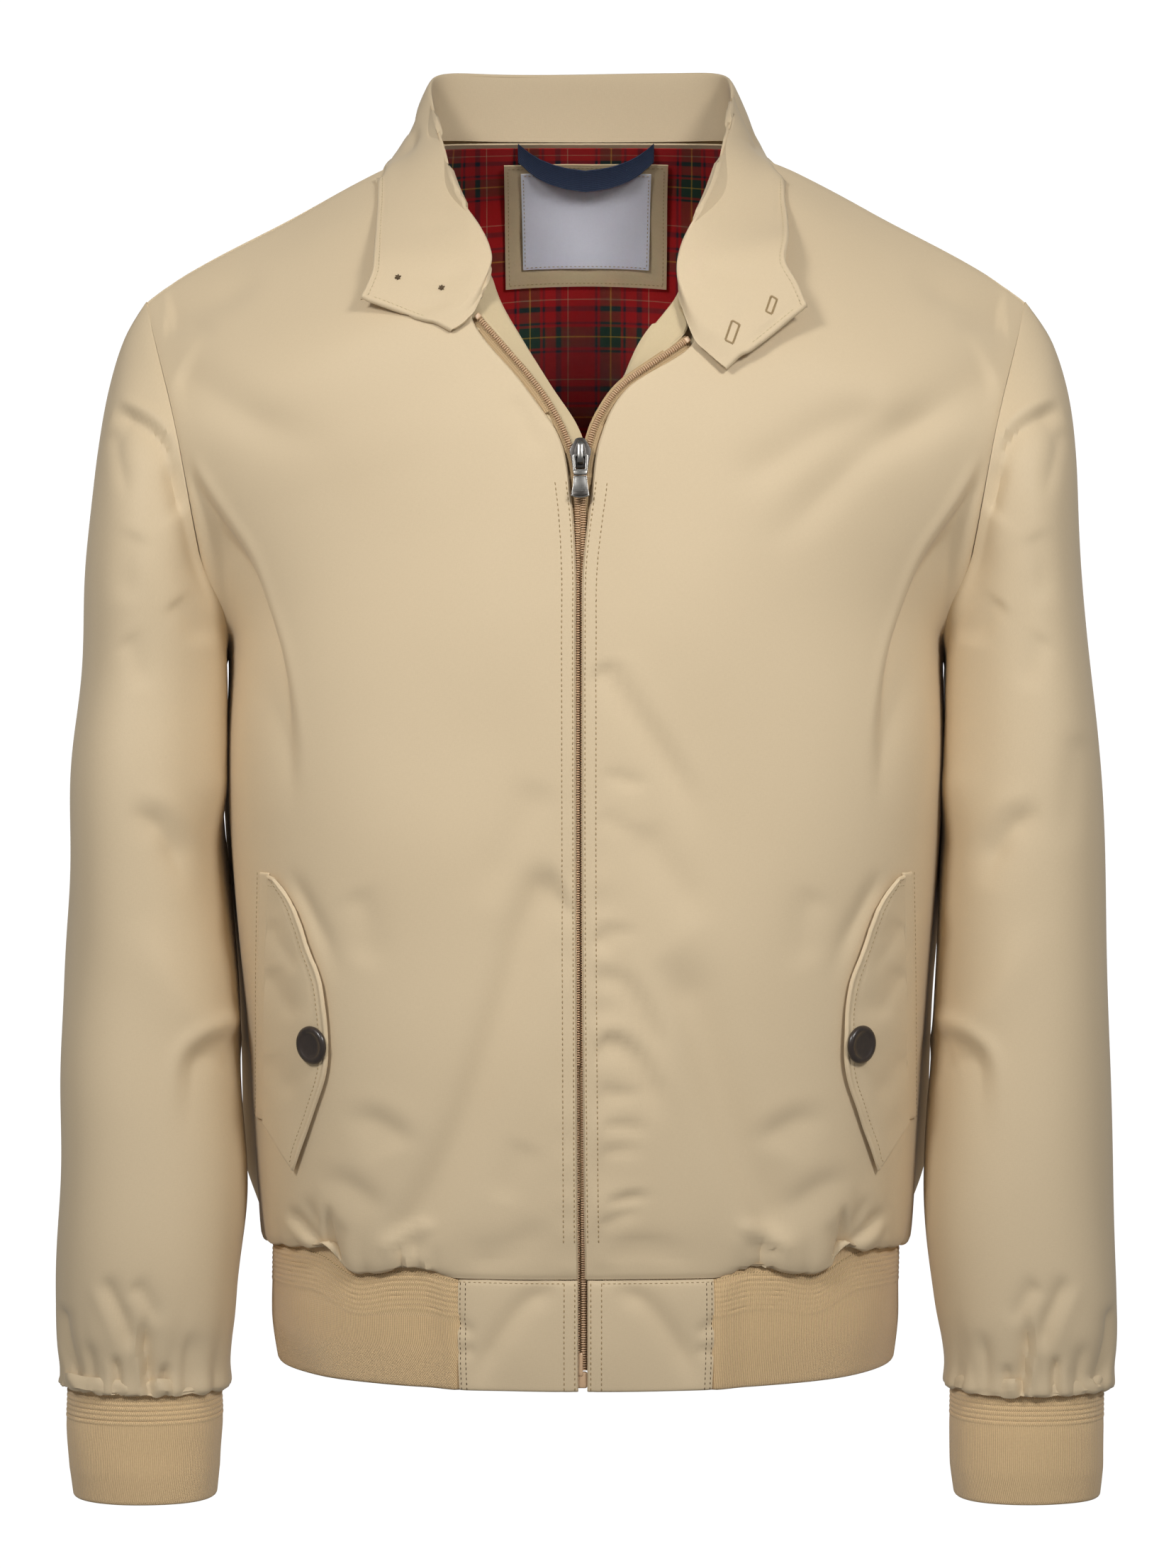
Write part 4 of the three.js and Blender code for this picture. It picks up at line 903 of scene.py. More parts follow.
def backGrid():
    half = np.concatenate([np.linspace(0, 0.8, 46)[:-1], np.linspace(0.8, 0.985, 20), [0.991, 0.996, 1.0]])
    us = np.concatenate([-half[::-1], half[1:]])
    u, v = np.meshgrid(us, bodyRows)
    share = smooth(0.985, 0.86, np.abs(u)) * smooth(3, 5, v) * smooth(10.5, 8.8, v)
    grid = Grid(swollen(eased(backSurface(u, v), 8, share)), -1)
    p = grid.points
    shifted = np.abs(p[..., 0]) + 3.5 * np.sin(p[..., 2] / 60) * np.sign(p[..., 0])
    relief = sum(crease(shifted, p[..., 2], **fold) for fold in backCreases) * smooth(1.0, 0.93, np.abs(u))
    relief *= smooth(-230, -300, p[..., 2]) * 0.25 + 0.75
    relief += hemGathers(p[..., 0], p[..., 1], p[..., 2], 15)
    z = p[..., 2]
    behind = mix(9.4, 11.6, smooth(-430, -520, z)) * smooth(-285, -335, z) * smooth(-577, -532, z)
    relief += behind * bump(p[..., 1], 31, 17)  # fullness beside the sleeves
    relief += unevenness(p, 25, 100, 280) * 1.1 * smooth(1, 0.85, np.abs(u)) * smooth(16, 14.5, v)
    toSide = np.minimum(grid.across(), grid.across(fromEnd=True))
    relief += seamDip(toSide, 0.3, 1.6) * (v > 1) + seamDip(grid.down(fromEnd=True), 0.7) * (v > 1)
    return grid.moved(relief)


fronts = {side: frontGrid(side) for side in (1, -1)}
back = backGrid()
sideName = {1: "left", -1: "right"}
shellPieces = [
    clothPiece(f"front_panel_{sideName[side]}", fronts[side], 1.0, shellCloth,
               [f"front_{sideName[side]}"])
    for side in (1, -1)
]
shellPieces.append(clothPiece("back_panel", back, 1.0, shellCloth, ["back"], centre=66))
print("body made")


# The sleeves.

sleeveTable = table(
    ["outerX", "outerZ", "innerX", "innerZ", "frontY", "backY"],
    [
        [234, -76, 191, -262, -66, 68],
        [246.5, -94, 192.4, -269, -71, 73],
        [255, -119, 193, -276, -74, 75],
        [260, -152, 193.4, -284, -76, 76],
        [264, -196, 193.8, -294, -77, 76],
        [268, -246, 194, -308, -78, 74],
        [272, -308, 193.8, -332, -79, 69],
        [276, -385, 189.6, -388, -80, 61],
        [279, -466, 183.6, -466, -82, 48],
        [280.4, -546, 180, -546, -87, 30],
        [282.6, -600, 184.2, -600, -89, 12],
        [282, -625, 188, -625, -88, 2],
        [278.5, -645.5, 190.5, -645.5, -85, -6],
        [274.5, -639.5, 193.4, -639.5, -81, -9],
    ],
)
sleeveSquare = 2.2


def armhole(side, turn):
    climb = np.where(turn <= 0.5, turn * 2, 2 - turn * 2)
    row = sideTable(mix(rows["underarm"], rows["shoulder"], climb))
    return xyz(side * row["x"], np.where(turn <= 0.5, row["frontY"], row["backY"]), row["z"])


def sleeveSurface(side, turn, v):
    def loop(at):
        row = sleeveTable(at)
        angle = turn * 2 * math.pi
        out = (1 - power(np.cos(angle), 2 / sleeveSquare)) / 2
        reach = power(np.sin(angle), 2 / sleeveSquare)
        middle, depth = (row["frontY"] + row["backY"]) / 2, (row["backY"] - row["frontY"]) / 2
        x, z = mix(row["innerX"], row["outerX"], out), mix(row["innerZ"], row["outerZ"], out)
        return xyz(side * x, middle - depth * reach, z)
    miss = armhole(side, turn) - loop(np.zeros_like(v))
    return loop(v) + miss * (clamp01(1 - v / 4) ** 2)[..., None]


# Creases of the front half, in |x| and z, and of the rear half with their own shift.
sleeveShared = [
    dict(path=[(200, -182), (207, -171), (213, -160), (219, -150), (227, -142), (237, -136), (249, -132)],
         depth=5.2, left=3.2, right=13, lip=1.8, edge=1.35, fade=(0.1, 0.14)),
    dict(path=[(237, -180), (242, -167), (246, -154), (250, -141)],
         depth=1.8, left=6, right=4, edge=1.5, fade=(0.4, 0.2)),
    dict(path=[(213, -158), (207, -178), (203, -200), (201, -224), (200, -250)],
         depth=3.0, left=9, right=9, edge=1.7, fade=(0.15, 0.5)),
    dict(path=[(232, -196), (238, -214), (238, -234)], depth=1.4, left=8, right=7, edge=1.8),
    dict(path=[(216, -232), (208, -242), (202, -256)], depth=1.6, left=6, right=7, edge=1.7),
    dict(path=[(240, -250), (234, -262), (230, -280)], depth=1.2, left=7, right=8, edge=1.8),
    dict(path=[(209, -384), (212, -368), (217, -356), (226, -346), (240, -341)],
         depth=3.4, left=6, right=9, lip=0.8, edge=1.5, fade=(0.4, 0.3)),
    dict(path=[(181, -461), (190, -464), (198, -467), (204, -474), (206, -492), (208, -522)],
         depth=3.2, left=5, right=14, lip=1.6, edge=1.5, fade=(0.05, 0.55)),
    dict(path=[(236, -395), (226, -415), (214, -437), (200, -452), (184, -459)],
         depth=-1.8, left=13, right=9, edge=1.6, fade=(0.4, 0.05)),
    dict(path=[(252, -583), (246, -596), (240, -609), (236, -624)],
         depth=3.0, left=4, right=5, lip=0.7, edge=1.5, fade=(0.25, 0.25)),
    dict(path=[(237, -587), (231, -592), (226, -601), (223, -610)],
         depth=2.6, left=4, right=5, lip=0.6, edge=1.5, fade=(0.25, 0.35)),
    dict(path=[(230, -602), (230.5, -618), (229, -633), (226, -650)],
         depth=5.0, left=2.2, right=6, lip=1.6, edge=1.35, fade=(0.35, 0.02)),
    dict(path=[(247, -626), (245, -635), (245, -650)],
         depth=3.6, left=2.4, right=2.6, lip=0.8, edge=1.4, fade=(0.3, 0.02)),
    dict(path=[(219, -630), (220, -638), (220, -650)],
         depth=3.0, left=2.4, right=3, edge=1.4, fade=(0.35, 0.02)),
    dict(path=[(278, -602), (276, -619), (268, -642)],
         depth=3.6, left=3, right=4.5, lip=1.0, edge=1.4, fade=(0.25, 0.02)),
    dict(path=[(262, -618), (259, -632), (257, -648)],
         depth=2.0, left=4, right=5, edge=1.5, fade=(0.4, 0.02)),
    dict(path=[(206, -612), (208, -630), (209, -648)],
         depth=2.4, left=4, right=5, edge=1.5, fade=(0.4, 0.02)),
]
sleeveCreases = {
    -1: sleeveShared,
    1: sleeveShared + [
        dict(path=[(258, -300), (252, -330), (250, -362)], depth=1.2, left=9, right=9, edge=1.8),
    ],
}


def cuffGathers(turn, above, seed):
    rng = np.random.default_rng(seed)
    total = np.zeros_like(turn)
    for k in range(26):
        middle = (k + rng.uniform(0.1, 0.9)) / 26
        tall, depth = rng.uniform(9, 34), rng.uniform(0.5, 2.2)
        lean, wide = rng.uniform(-0.3, 0.3), rng.uniform(2.6, 5.0)
        gap = (np.mod(turn - middle + 0.5, 1) - 0.5) * 290 - lean * above
        total -= depth * gather(gap, above, wide, tall, 40)
    return total


def sleeveGrid(side):
    turns = np.concatenate([np.linspace(0, 0.5, 91), np.linspace(0.5, 1, 46)[1:]])
    down = evenRows(lambda v: sleeveSurface(side, np.full_like(v, 0.3), v), 0, 11.6, 176)
    atCuff = np.concatenate([np.linspace(11.6, 12, 5)[1:], np.linspace(12, 13, 8)[1:]])
    vs = np.concatenate([[0, 0.03, 0.07, 0.12], down[2:], atCuff])
    turn, v = np.meshgrid(turns, vs)
    grid = Grid(swollen(sleeveSurface(side, turn, v)), -side, closed=True)
    p, n = grid.points, grid.normals
    x, z = np.abs(p[..., 0]), p[..., 2]
    toFront = smooth(-0.05, 0.4, -n[..., 1])
    toRear = smooth(-0.05, 0.4, n[..., 1])
    relief = toFront * sum(crease(x, z, **fold) for fold in sleeveCreases[side])
    relief += toRear * 0.8 * sum(crease(x + 6, z + 14, **fold) for fold in sleeveCreases[-side])
    above = np.maximum(z + 645, 0)
    relief *= smooth(0, 11, grid.down())
    relief += cuffGathers(turn, above, 31 + side) * smooth(13.0, 12.2, v)
    relief += unevenness(p, 41 + side, 70, 220) * 1.3 * smooth(0, 1.2, v)
    inward = smooth(0.05, 0.75, -side * n[..., 0])
    relief += 7.0 * inward * bump(p[..., 1], -40, 24) * smooth(-205, -240, z) * smooth(-365, -325, z)
    relief += seamDip(grid.down(), 0.2, 1.4)
    relief += 2.2 * np.sin(math.pi * clamp01((v - 11.2) / 1.5)) * smooth(11.2, 12, v)
    return grid.moved(relief)


sleeves = {side: sleeveGrid(side) for side in (1, -1)}
for side in (1, -1):
    clothPiece(f"sleeve_panel_{sideName[side]}", sleeves[side], 1.0, shellCloth,
               [f"sleeve_{sideName[side]}"])
print("sleeves made")


# The ribbed hem and cuffs.

hemTable = table(
    ["halfWidth", "front", "back", "z"],
    [
        [172.5, -124, 119, -579.5],
        [173.2, -124.8, 120, -592],
        [173.4, -125, 120, -615],
        [170.5, -124, 118, -637.4],
    ],
)
ridges = {"pitch": 2.6, "hemDeep": 21.0, "cuffDeep": 18.2, "high": 0.55}


def hemPoint(side, turn, v, plain):
    row = hemTable(v)
    angle = turn * math.pi
    x = row["halfWidth"] * power(np.sin(angle), roundness)
    depth = power(np.cos(angle), roundness)
    y = np.where(depth > 0, row["front"] * depth, -row["back"] * depth)
    if plain:
        return xyz(side * x, y, row["z"] - 0.35)
    ribbed = onRib(x, y)
    lift = seamHeight(x, y) - hem["seam"] + hem["tuck"] * ribbed
    shrink = 1 - hem["inset"] * ribbed / np.hypot(x, y)
    return xyz(side * x * shrink, y * shrink, row["z"] + lift * clamp01(1 - v / 2) - 0.65)


def hemTurn(x):
    return math.asin((x / 172.5) ** (1 / roundness)) / math.pi


# Knitted ridges run round the top of each band; below them it is plain rib with a rolled foot.
def bandRelief(below, fromFoot, deep):
    count = deep / ridges["pitch"]
    inBand = smooth(-0.5, 0.6, below) * smooth(deep + 0.4, deep - 0.4, below)
    ridge = np.abs(np.sin(math.pi * clamp01(below / deep) * count)) ** 0.6
    return inBand * ridges["high"] * (ridge - 0.4) - rolled(fromFoot, 1.9)


def hemBand():
    start = hemTurn(hem["tab"] - 3.0)  # tucked under the plain tabs
    half = np.concatenate([[start, start + 0.0006, start + 0.0014], np.linspace(start + 0.0025, 1, 185)])
    turns = np.concatenate([half, half[::-1][1:]])
    sides = np.concatenate([np.ones(len(half)), -np.ones(len(half) - 1)])
    vs = np.concatenate([[3, 2.985, 2.96, 2.93], np.linspace(2.88, 2.0, 8), np.linspace(1.97, 0, 66)])
    turn, v = np.meshgrid(turns, vs)
    grid = Grid(hemPoint(sides[None, :], turn, v, False), 1)
    p = grid.points
    below = seamHeight(p[..., 0], p[..., 1]) - p[..., 2]
    relief = bandRelief(below, grid.down(), ridges["hemDeep"])
    relief += unevenness(p, 51, 40, 120) * 0.5 * smooth(0, 8, grid.down(True))
    fromEnd = np.minimum(grid.across(), grid.across(fromEnd=True))
    relief -= 2.8 * smooth(4.6, 2.8, fromEnd)
    return grid.moved(relief)


tabCreases = [
    ([(14, -583), (30, -591), (42, -606), (51, -621), (57, -636)], 2.6, 6),
    ([(70, -600), (57, -609)], 1.4, 3.5),
    ([(70, -619), (56, -616)], 1.2, 3.5),
]


def hemTab(side):
    edge = frontTable(0.0)
    start = 0.0006 if side > 0 else hemTurn(float(edge["rightX"]))
    end = hemTurn(hem["tab"] - 0.1)
    atZip = start + np.array([0, 0.0003, 0.0009, 0.0018, 0.003])
    turns = np.concatenate([atZip, np.linspace(start + 0.005, end - 0.001, 30), [end]])
    vs = np.concatenate([[3, 2.985, 2.96, 2.93], np.linspace(2.88, 0.12, 34), [0.06, 0.03, 0.0]])
    turn, v = np.meshgrid(turns, vs)
    grid = Grid(hemPoint(side, turn, v, True), side)
    p = grid.points
    x = np.abs(p[..., 0])
    relief = -rolled(grid.down(), 1.5) - rolled(grid.across(), 1.5)
    relief += seamDip(grid.down(fromEnd=True), 0.7, 1.8) + seamDip(grid.across(fromEnd=True), 0.7, 1.8)
    relief += unevenness(p, 55 + side, 30, 90) * 0.45 * smooth(0, 6, grid.across())
    for path, depth, wide in tabCreases:
        relief += crease(x, p[..., 2], path, depth, wide, wide, edge=1.8)
    relief -= 0.3 * (bump(grid.across(), 2.6, 0.7) + bump(grid.across(), 8.2, 0.7))
    return grid.moved(relief)


rib = hemBand()
tabs = {side: hemTab(side) for side in (1, -1)}
clothPiece("hem_band", rib, 2.0, ribKnit, ["hem_rib"])
for side in (1, -1):
    clothPiece(f"hem_tab_piece_{sideName[side]}", tabs[side], 1.5, shellCloth,
               [f"hem_tab_{sideName[side]}"])


def cuffGrid(side):
    seam = sleeveTable(13.0)
    middle = xyz(side * (seam["outerX"] + seam["innerX"]) / 2, (seam["frontY"] + seam["backY"]) / 2, 0)
    foot = [-706, -705.7, -705.2, -704.5, -703.5]
    heights = np.concatenate([foot, np.linspace(-702, -664.5, 14), np.linspace(-664, -639.8, 62)])
    turns = np.linspace(0, 1, 121)
    turn, z = np.meshgrid(turns, heights)
    p = sleeveSurface(side, turn, np.full_like(turn, 13.0))
    arm = xyz(p[..., 0], p[..., 1], 0) - middle
    grow = np.interp(z, [-706, -690, -668, -639.8], [-2.5, -0.5, 0.3, 0])
    points = middle + arm * (1 + grow / length(arm))[..., None]
    points[..., 2] = z
    grid = Grid(points, side, closed=True)
    below = -645.2 - z
    relief = bandRelief(below, grid.down(), ridges["cuffDeep"])
    relief += unevenness(points, 61 + side, 30, 90) * 0.5
    return grid.moved(relief)


cuffs = {side: cuffGrid(side) for side in (1, -1)}
for side in (1, -1):
    clothPiece(f"cuff_band_{sideName[side]}", cuffs[side], 2.0, cuffKnitPaintedLight,
               [f"cuff_{sideName[side]}"])
print("hem and cuffs made")


# The lining and the facings.

# The fronts and the back as seen from outside, in millimetres.
def coverOf(grids):
    vertices, faces = [], []
    for grid in grids:
        rows, columns = grid.points.shape[:2]
        base = len(vertices)
        vertices += [Vector(p) for p in grid.points.reshape(-1, 3)]
        for i in range(rows - 1):
            for j in range(columns - 1):
                k = base + i * columns + j
                face = [k, k + 1, k + columns + 1, k + columns]
                faces.append(face if grid.sign > 0 else face[::-1])
    return BVHTree.FromPolygons(vertices, faces)


cover = coverOf([fronts[1], fronts[-1], back])


# Points pushed in until they lie that deep behind the outer face of the shell.
def behindShell(points, depth, share=None):
    moved = points.copy()
    depths = np.broadcast_to(depth, points.shape[:2])
    for index in np.ndindex(points.shape[:2]):
        p, deep = Vector(points[index]), float(depths[index])
        place, normal, _, _ = cover.find_nearest(p, 40)
        if place is not None and (p - place).dot(normal) > -deep:
            moved[index] = np.array(place - normal * deep)
    return moved if share is None else mix(points, moved, share[..., None])


# The lining hangs free below the yoke and lies close at the neck.
def liningDepth(v):
    return 2.4 + 4.2 * smooth(12.8, 11.2, v) * smooth(0, 3, v)


def frontLining(side):
    us = np.concatenate([np.linspace(0.2, 0.99, 40), [0.998]])
    vs = evenRows(lambda v: frontSurface(side, np.full_like(v, 0.55), v), 2, 15.93, 70)
    u, v = np.meshgrid(us, vs)
    grid = Grid(frontSurface(side, u, v), side)
    return Grid(behindShell(grid.moved(-2.7).points, liningDepth(v)), side)


def backLining():
    us = np.concatenate([[-0.998], np.linspace(-0.985, 0.985, 89), [0.998]])
    vs = evenRows(lambda v: backSurface(np.full_like(v, 0.4), v), 2, 15.93, 72)
    u, v = np.meshgrid(us, vs)
    grid = Grid(backSurface(u, v), -1)
    slack = unevenness(grid.points, 71, 40, 130) * 0.7 * smooth(16, 14, v)
    return Grid(behindShell(grid.moved(slack - 3.2).points, liningDepth(v)), -1)


linings = {side: frontLining(side) for side in (1, -1)}
liningOfBack = backLining()
for side in (1, -1):
    clothPiece(f"lining_panel_{sideName[side]}", linings[side], 0.5, tartan,
               [f"lining_front_{sideName[side]}"])
clothPiece("lining_panel_back", liningOfBack, 0.5, tartan, ["lining_back"], centre=45)

facingTable = {
    1: table(
        ["zipX", "zipY", "zipZ", "foldX", "foldY", "foldZ"],
        [
            [1.5, -128, -178, 9, -127, -178],
            [3.2, -124, -148, 3.6, -118.5, -147.5],
            [19, -115.5, -120.5, 18, -109, -121],
            [51, -104.5, -95, 29, -99, -98],
            [48.5, -94, -75.5, 46.5, -93, -75],
        ],
    ),
    -1: table(
        ["zipX", "zipY", "zipZ", "foldX", "foldY", "foldZ"],
        [
            [5.6, -124.5, -178, -4, -123.5, -178],
            [9.5, -123.5, -147.5, 1.2, -119, -147.5],
            [25, -115.5, -120, 17, -110.5, -121],
            [53.5, -103.5, -83, 40.5, -96, -82],
            [50.5, -92, -64.5, 48.5, -90, -63.5],
        ],
    ),
}
zipCentre = -2.8


# The facing's four guide points for a body row: zip edge, fold, and two on the inside of the front.
def facingGuide(side, row):
    u = np.array([[0.0, 0.1, 0.2]] * 3)
    v = np.array([[row - 0.05] * 3, [float(row)] * 3, [min(row + 0.05, 16)] * 3])
    near = Grid(frontSurface(side, u, v), side)
    inner = near.points[1] - near.normals[1] * 4.6
    if 9 <= row <= 13:
        at = facingTable[side](row - 9.0)
        pair = [np.array([side * at[f"{k}X"], at[f"{k}Y"], at[f"{k}Z"]]) for k in ("zip", "fold")]
        if side < 0:
            pair = pair[::-1]
    elif row > 13:
        pair = [inner[0], inner[0] + unit(inner[1] - inner[0]) * 2]
    else:
        first, deep = (0.3, 0.8) if side > 0 else (-11, 2.2)
        _, y, z = inner[0]
        pair = [np.array([zipCentre + side * (first + reach), y + deep, z]) for reach in (0, 9)]
    return [*pair, inner[1], inner[2]]


def facingGrid(side):
    guides = [np.concatenate(facingGuide(side, row)) for row in range(2, 17)]
    read = table([str(k) for k in range(12)], guides)
    vs = np.linspace(0, 13.9, 150)
    found = read(vs)
    flat = np.stack([found[str(k)] for k in range(12)], axis=-1).reshape(-1, 4, 3)
    spots = np.concatenate([np.linspace(0, 1, 12), np.linspace(1, 2, 10)[1:], np.linspace(2, 3, 8)[1:]])
    k = np.clip(spots.astype(int), 0, 2)
    f = (spots - k)[None, :, None]
    points = mix(flat[:, k], flat[:, k + 1], f)
    grid = Grid(points, side)
    relief = unevenness(points, 81 + side, 30, 80) * 0.4
    relief -= rolled(grid.across(), 1.2)
    points = grid.moved(relief).points
    share = smooth(-172, -188, points[..., 2]) * smooth(6, 10, grid.across())
    return Grid(behindShell(points, 2.6, share), side)


facings = {side: facingGrid(side) for side in (1, -1)}
for side in (1, -1):
    clothPiece(f"facing_piece_{sideName[side]}", facings[side], 1.1, shellInside,
               [f"facing_{sideName[side]}"])
print("lining and facing made")


# Points on the finished fronts.

def treeOf(names):
    vertices, faces = [], []
    for name in names:
        mesh = bpy.data.objects[name].data
        base = len(vertices)
        vertices += [v.co.copy() for v in mesh.vertices]
        faces += [[base + k for k in p.vertices] for p in mesh.polygons]
    return BVHTree.FromPolygons(vertices, faces)


shellTree = treeOf(["front_panel_left", "front_panel_right", "back_panel"])
frontTree = treeOf(["front_panel_left", "front_panel_right"])


# A look from the front at x, z: where it meets a surface, in metres, and the normal there.
def lookIn(tree, x, z):
    return tree.ray_cast(Vector((x * mm, -0.4, z * mm)), Vector((0, 1, 0)), 0.5)[:2]


def onFront(x, z, tree=frontTree):
    place, normal = lookIn(tree, x, z)
    return np.array(place) * 1000, np.array(normal)


def clearOfShell(points, clearance):
    moved = points.copy()
    for index in np.ndindex(points.shape[:2]):
        p = Vector(points[index] * mm)
        place, normal, _, _ = shellTree.find_nearest(p, 0.04)
        if place is None:
            continue
        height = (p - place).dot(normal)
        if height < clearance * mm:
            moved[index] = np.array(place + normal * clearance * mm) * 1000
    return moved


def softened(points, passes):
    result = points.copy()
    for _ in range(passes):
        inner = (result[:-2, 1:-1] + result[2:, 1:-1] + result[1:-1, :-2] + result[1:-1, 2:]) / 4
        result[1:-1, 1:-1] = mix(result[1:-1, 1:-1], inner, 0.5)
    return result


# The collar.

collarTable = table(
    ["neckX", "neckY", "neckZ", "rollX", "rollY", "rollZ", "edgeX", "edgeY", "edgeZ"],
    [
        [72, -118, -113, 82, -115, -105, 114, -101, -80],
        [62, -115.5, -104.5, 71, -113, -96, 108.5, -97, -67],
        [54.5, -112, -96, 60, -111, -88, 102.5, -92, -55.5],
        [47.5, -99, -72, 48.5, -101, -66, 104.5, -80, -44],
        [53, -86, -56, 51, -86, -47, 105.5, -62, -34],
        [66, -61, -33, 63, -60, -20, 105, -42, -22],
        [79, -36, -11, 72, -32, 6, 104, -20, -10],
        [88, -8, 4, 76.5, 0, 28, 101, 4, -1],
        [86, 22, 12.5, 78, 30, 45, 97, 28, 3],
        [74, 46, 15.5, 71, 52, 52.5, 87, 58, 8],
        [45, 59, 16, 44, 64, 53.5, 50, 72, 10.5],
        [0, 63, 16, 0, 68, 53.5, 0, 74, 10],
        [-45, 59, 16, -46, 64, 53.5, -51, 70, 10],
        [-74, 46, 15.5, -77, 52, 52.5, -90, 54, 7],
        [-86, 22, 12.5, -84, 30, 44, -103, 26, 3],
        [-88, -8, 4, -80, 0, 25, -108, 4, -2],
        [-79, -36, -11, -74.5, -32, 4, -109.5, -20, -12],
        [-67, -62, -33, -66, -61, -20, -110, -42, -26],
        [-55, -85, -52, -52, -88, -47, -110, -62, -40],
        [-50, -98, -63, -50.5, -100, -60, -110, -80, -52],
        [-58, -110, -85, -63, -109, -79, -110.5, -90, -62],
        [-69, -112, -94, -80, -108.5, -89, -116, -98, -75.5],
    ],
)
collarSize = {"roll": 9, "lift": 2.6, "thick": 1.7}


def collarPoints(across, station):
    row = collarTable(station)
    neck, roll, edge = [xyz(row[f"{k}X"], row[f"{k}Y"], row[f"{k}Z"]) for k in ("neck", "roll", "edge")]
    out = (edge - neck) * np.array([1, 1, 0])
    out = unit(out) * collarSize["roll"]
    low = (across < 0.5)[..., None]
    start, end = np.where(low, neck, roll), np.where(low, roll, edge)
    startPull, endPull = np.where(low, roll - neck, out), np.where(low, out, edge - roll)
    t = np.where(across < 0.5, across * 2, across * 2 - 1)[..., None]
    eased = t * t * (3 - 2 * t)
    return start * (1 - eased) + end * eased + startPull * t * (1 - t) ** 2 - endPull * t * t * (1 - t)


# Soft dents in the collar ends, as x and z.
collarCreases = [
    dict(path=[(58, -66), (70, -62), (84, -66), (96, -60)], depth=1.3, left=4, right=6, edge=1.7),
    dict(path=[(66, -100), (76, -92), (82, -80), (92, -74)], depth=1.2, left=4, right=5, edge=1.7),
    dict(path=[(88, -100), (96, -92), (106, -88)], depth=0.9, left=3, right=5, edge=1.7),
    dict(path=[(-54, -70), (-64, -64), (-78, -66), (-92, -60)], depth=1.2, left=5, right=5, edge=1.7),
    dict(path=[(-64, -86), (-72, -80), (-84, -80), (-98, -74)], depth=1.3, left=4, right=5, edge=1.7),
    dict(path=[(-58, -40), (-72, -36), (-88, -42)], depth=0.9, left=6, right=6, edge=1.8),
]


def collarGrid():
    ends = ([0, 0.02, 0.05, 0.1, 0.16], [20.84, 20.9, 20.95, 20.98, 21])
    stations = np.concatenate([ends[0], np.linspace(0.24, 20.76, 168), ends[1]])
    across = np.concatenate([np.linspace(0, 0.93, 40), [0.945, 0.96, 0.972, 0.982, 0.99, 0.996, 1.0]])
    a, s = np.meshgrid(across, stations)
    points = collarPoints(a, s)
    free = clearOfShell(points, collarSize["lift"])
    ends = np.maximum(smooth(2.6, 1.6, s), smooth(18.6, 19.6, s))
    share = np.maximum(smooth(0.02, 0.2, a), ends)
    points = softened(mix(points, free, share[..., None]), 6)
    grid = Grid(points, 1)
    toEdge = grid.across(fromEnd=True)
    toEnds = np.minimum(grid.down(), grid.down(fromEnd=True))
    outer = smooth(0.5, 0.56, a)
    relief = -rolled(toEdge, 1.6) - rolled(toEnds, 1.6)
    relief -= 0.4 * bump(toEdge, 4.4, 0.9) * outer + 0.4 * bump(toEnds, 4.4, 0.9) * outer
    relief += 0.35 * bump(toEdge, 1.9, 1.2) + 0.35 * bump(toEnds, 1.9, 1.2)
    atBack = smooth(7.5, 9, s) * smooth(14, 12.5, s)
    relief += unevenness(points, 91, 40, 110) * (0.9 - 0.6 * atBack) * smooth(0, 5, toEdge)
    dents = sum(crease(points[..., 0], points[..., 2], **fold) for fold in collarCreases)
    relief += dents * smooth(0.56, 0.7, a) * (1 - smooth(4, 6, s) * smooth(17, 15, s))
    return grid.moved(relief)


collar = collarGrid()
clothPiece("collar_piece", collar, collarSize["thick"], shellCloth, ["collar"])
print("collar made")


# The zip.

zipTable = table(
    ["leftX", "leftZ", "rightX", "rightZ", "y"],
    [
        [-2.7, -627, 2.9, -627, -121.6],
        [-2.7, -604, 2.9, -604, -122.4],
        [-2.7, -579, 2.9, -579, -121.4],
        [-2.7, -545, 2.9, -545, -127.4],
        [-2.7, -500, 2.9, -500, -130.4],
        [-2.7, -430, 2.9, -430, -132.8],
        [-2.7, -360, 2.9, -360, -134.2],
        [-2.7, -290, 2.9, -290, -135.6],
        [-2.7, -225, 2.9, -225, -134.4],
        [-2.7, -170, 2.9, -170, -130.6],
        [1, -148, 8, -148.5, -126.6],
        [7.5, -133, 16, -132, -122.8],
        [17.5, -120, 26, -117.5, -118.8],
        [35, -107.5, 40, -101, -113.4],
        [51.5, -96.5, 54.5, -84.5, -107.4],
    ],
)
chain = {"wide": 3.2, "pitch": 1.24, "last": 14, "opens": 9, "bead": (1.75, 0.5, 0.95)}
tape = {"behind": 2.0, "sunk": 2.3, "thick": 0.5, "stop": (1.4, 1.5, 0.9)}


def zipPoint(side, v):
    row = zipTable(v)
    which = "left" if side > 0 else "right"
    return xyz(side * row[which + "X"], row["y"], row[which + "Z"])


def tapeDirection(side, v):
    here = zipPoint(side, v)
    along = unit(zipPoint(side, np.minimum(v + 0.05, 14)) - zipPoint(side, v - 0.05))
    opened = smooth(chain["opens"], chain["opens"] + 2, v)
    out = xyz(side, 0, -0.25 * opened * np.abs(here[..., 0]) / 20)
    return unit(out - along * np.sum(out * along, axis=-1, keepdims=True)), along


# Keeps a point behind the cloth of the fronts.
def behindFront(p, depth):
    hit = lookIn(frontTree, p[0], p[2])[0]
    if hit is not None and hit.y * 1000 + depth > p[1] and hit.y < 0:
        return np.array([p[0], hit.y * 1000 + depth, p[2]])
    return p


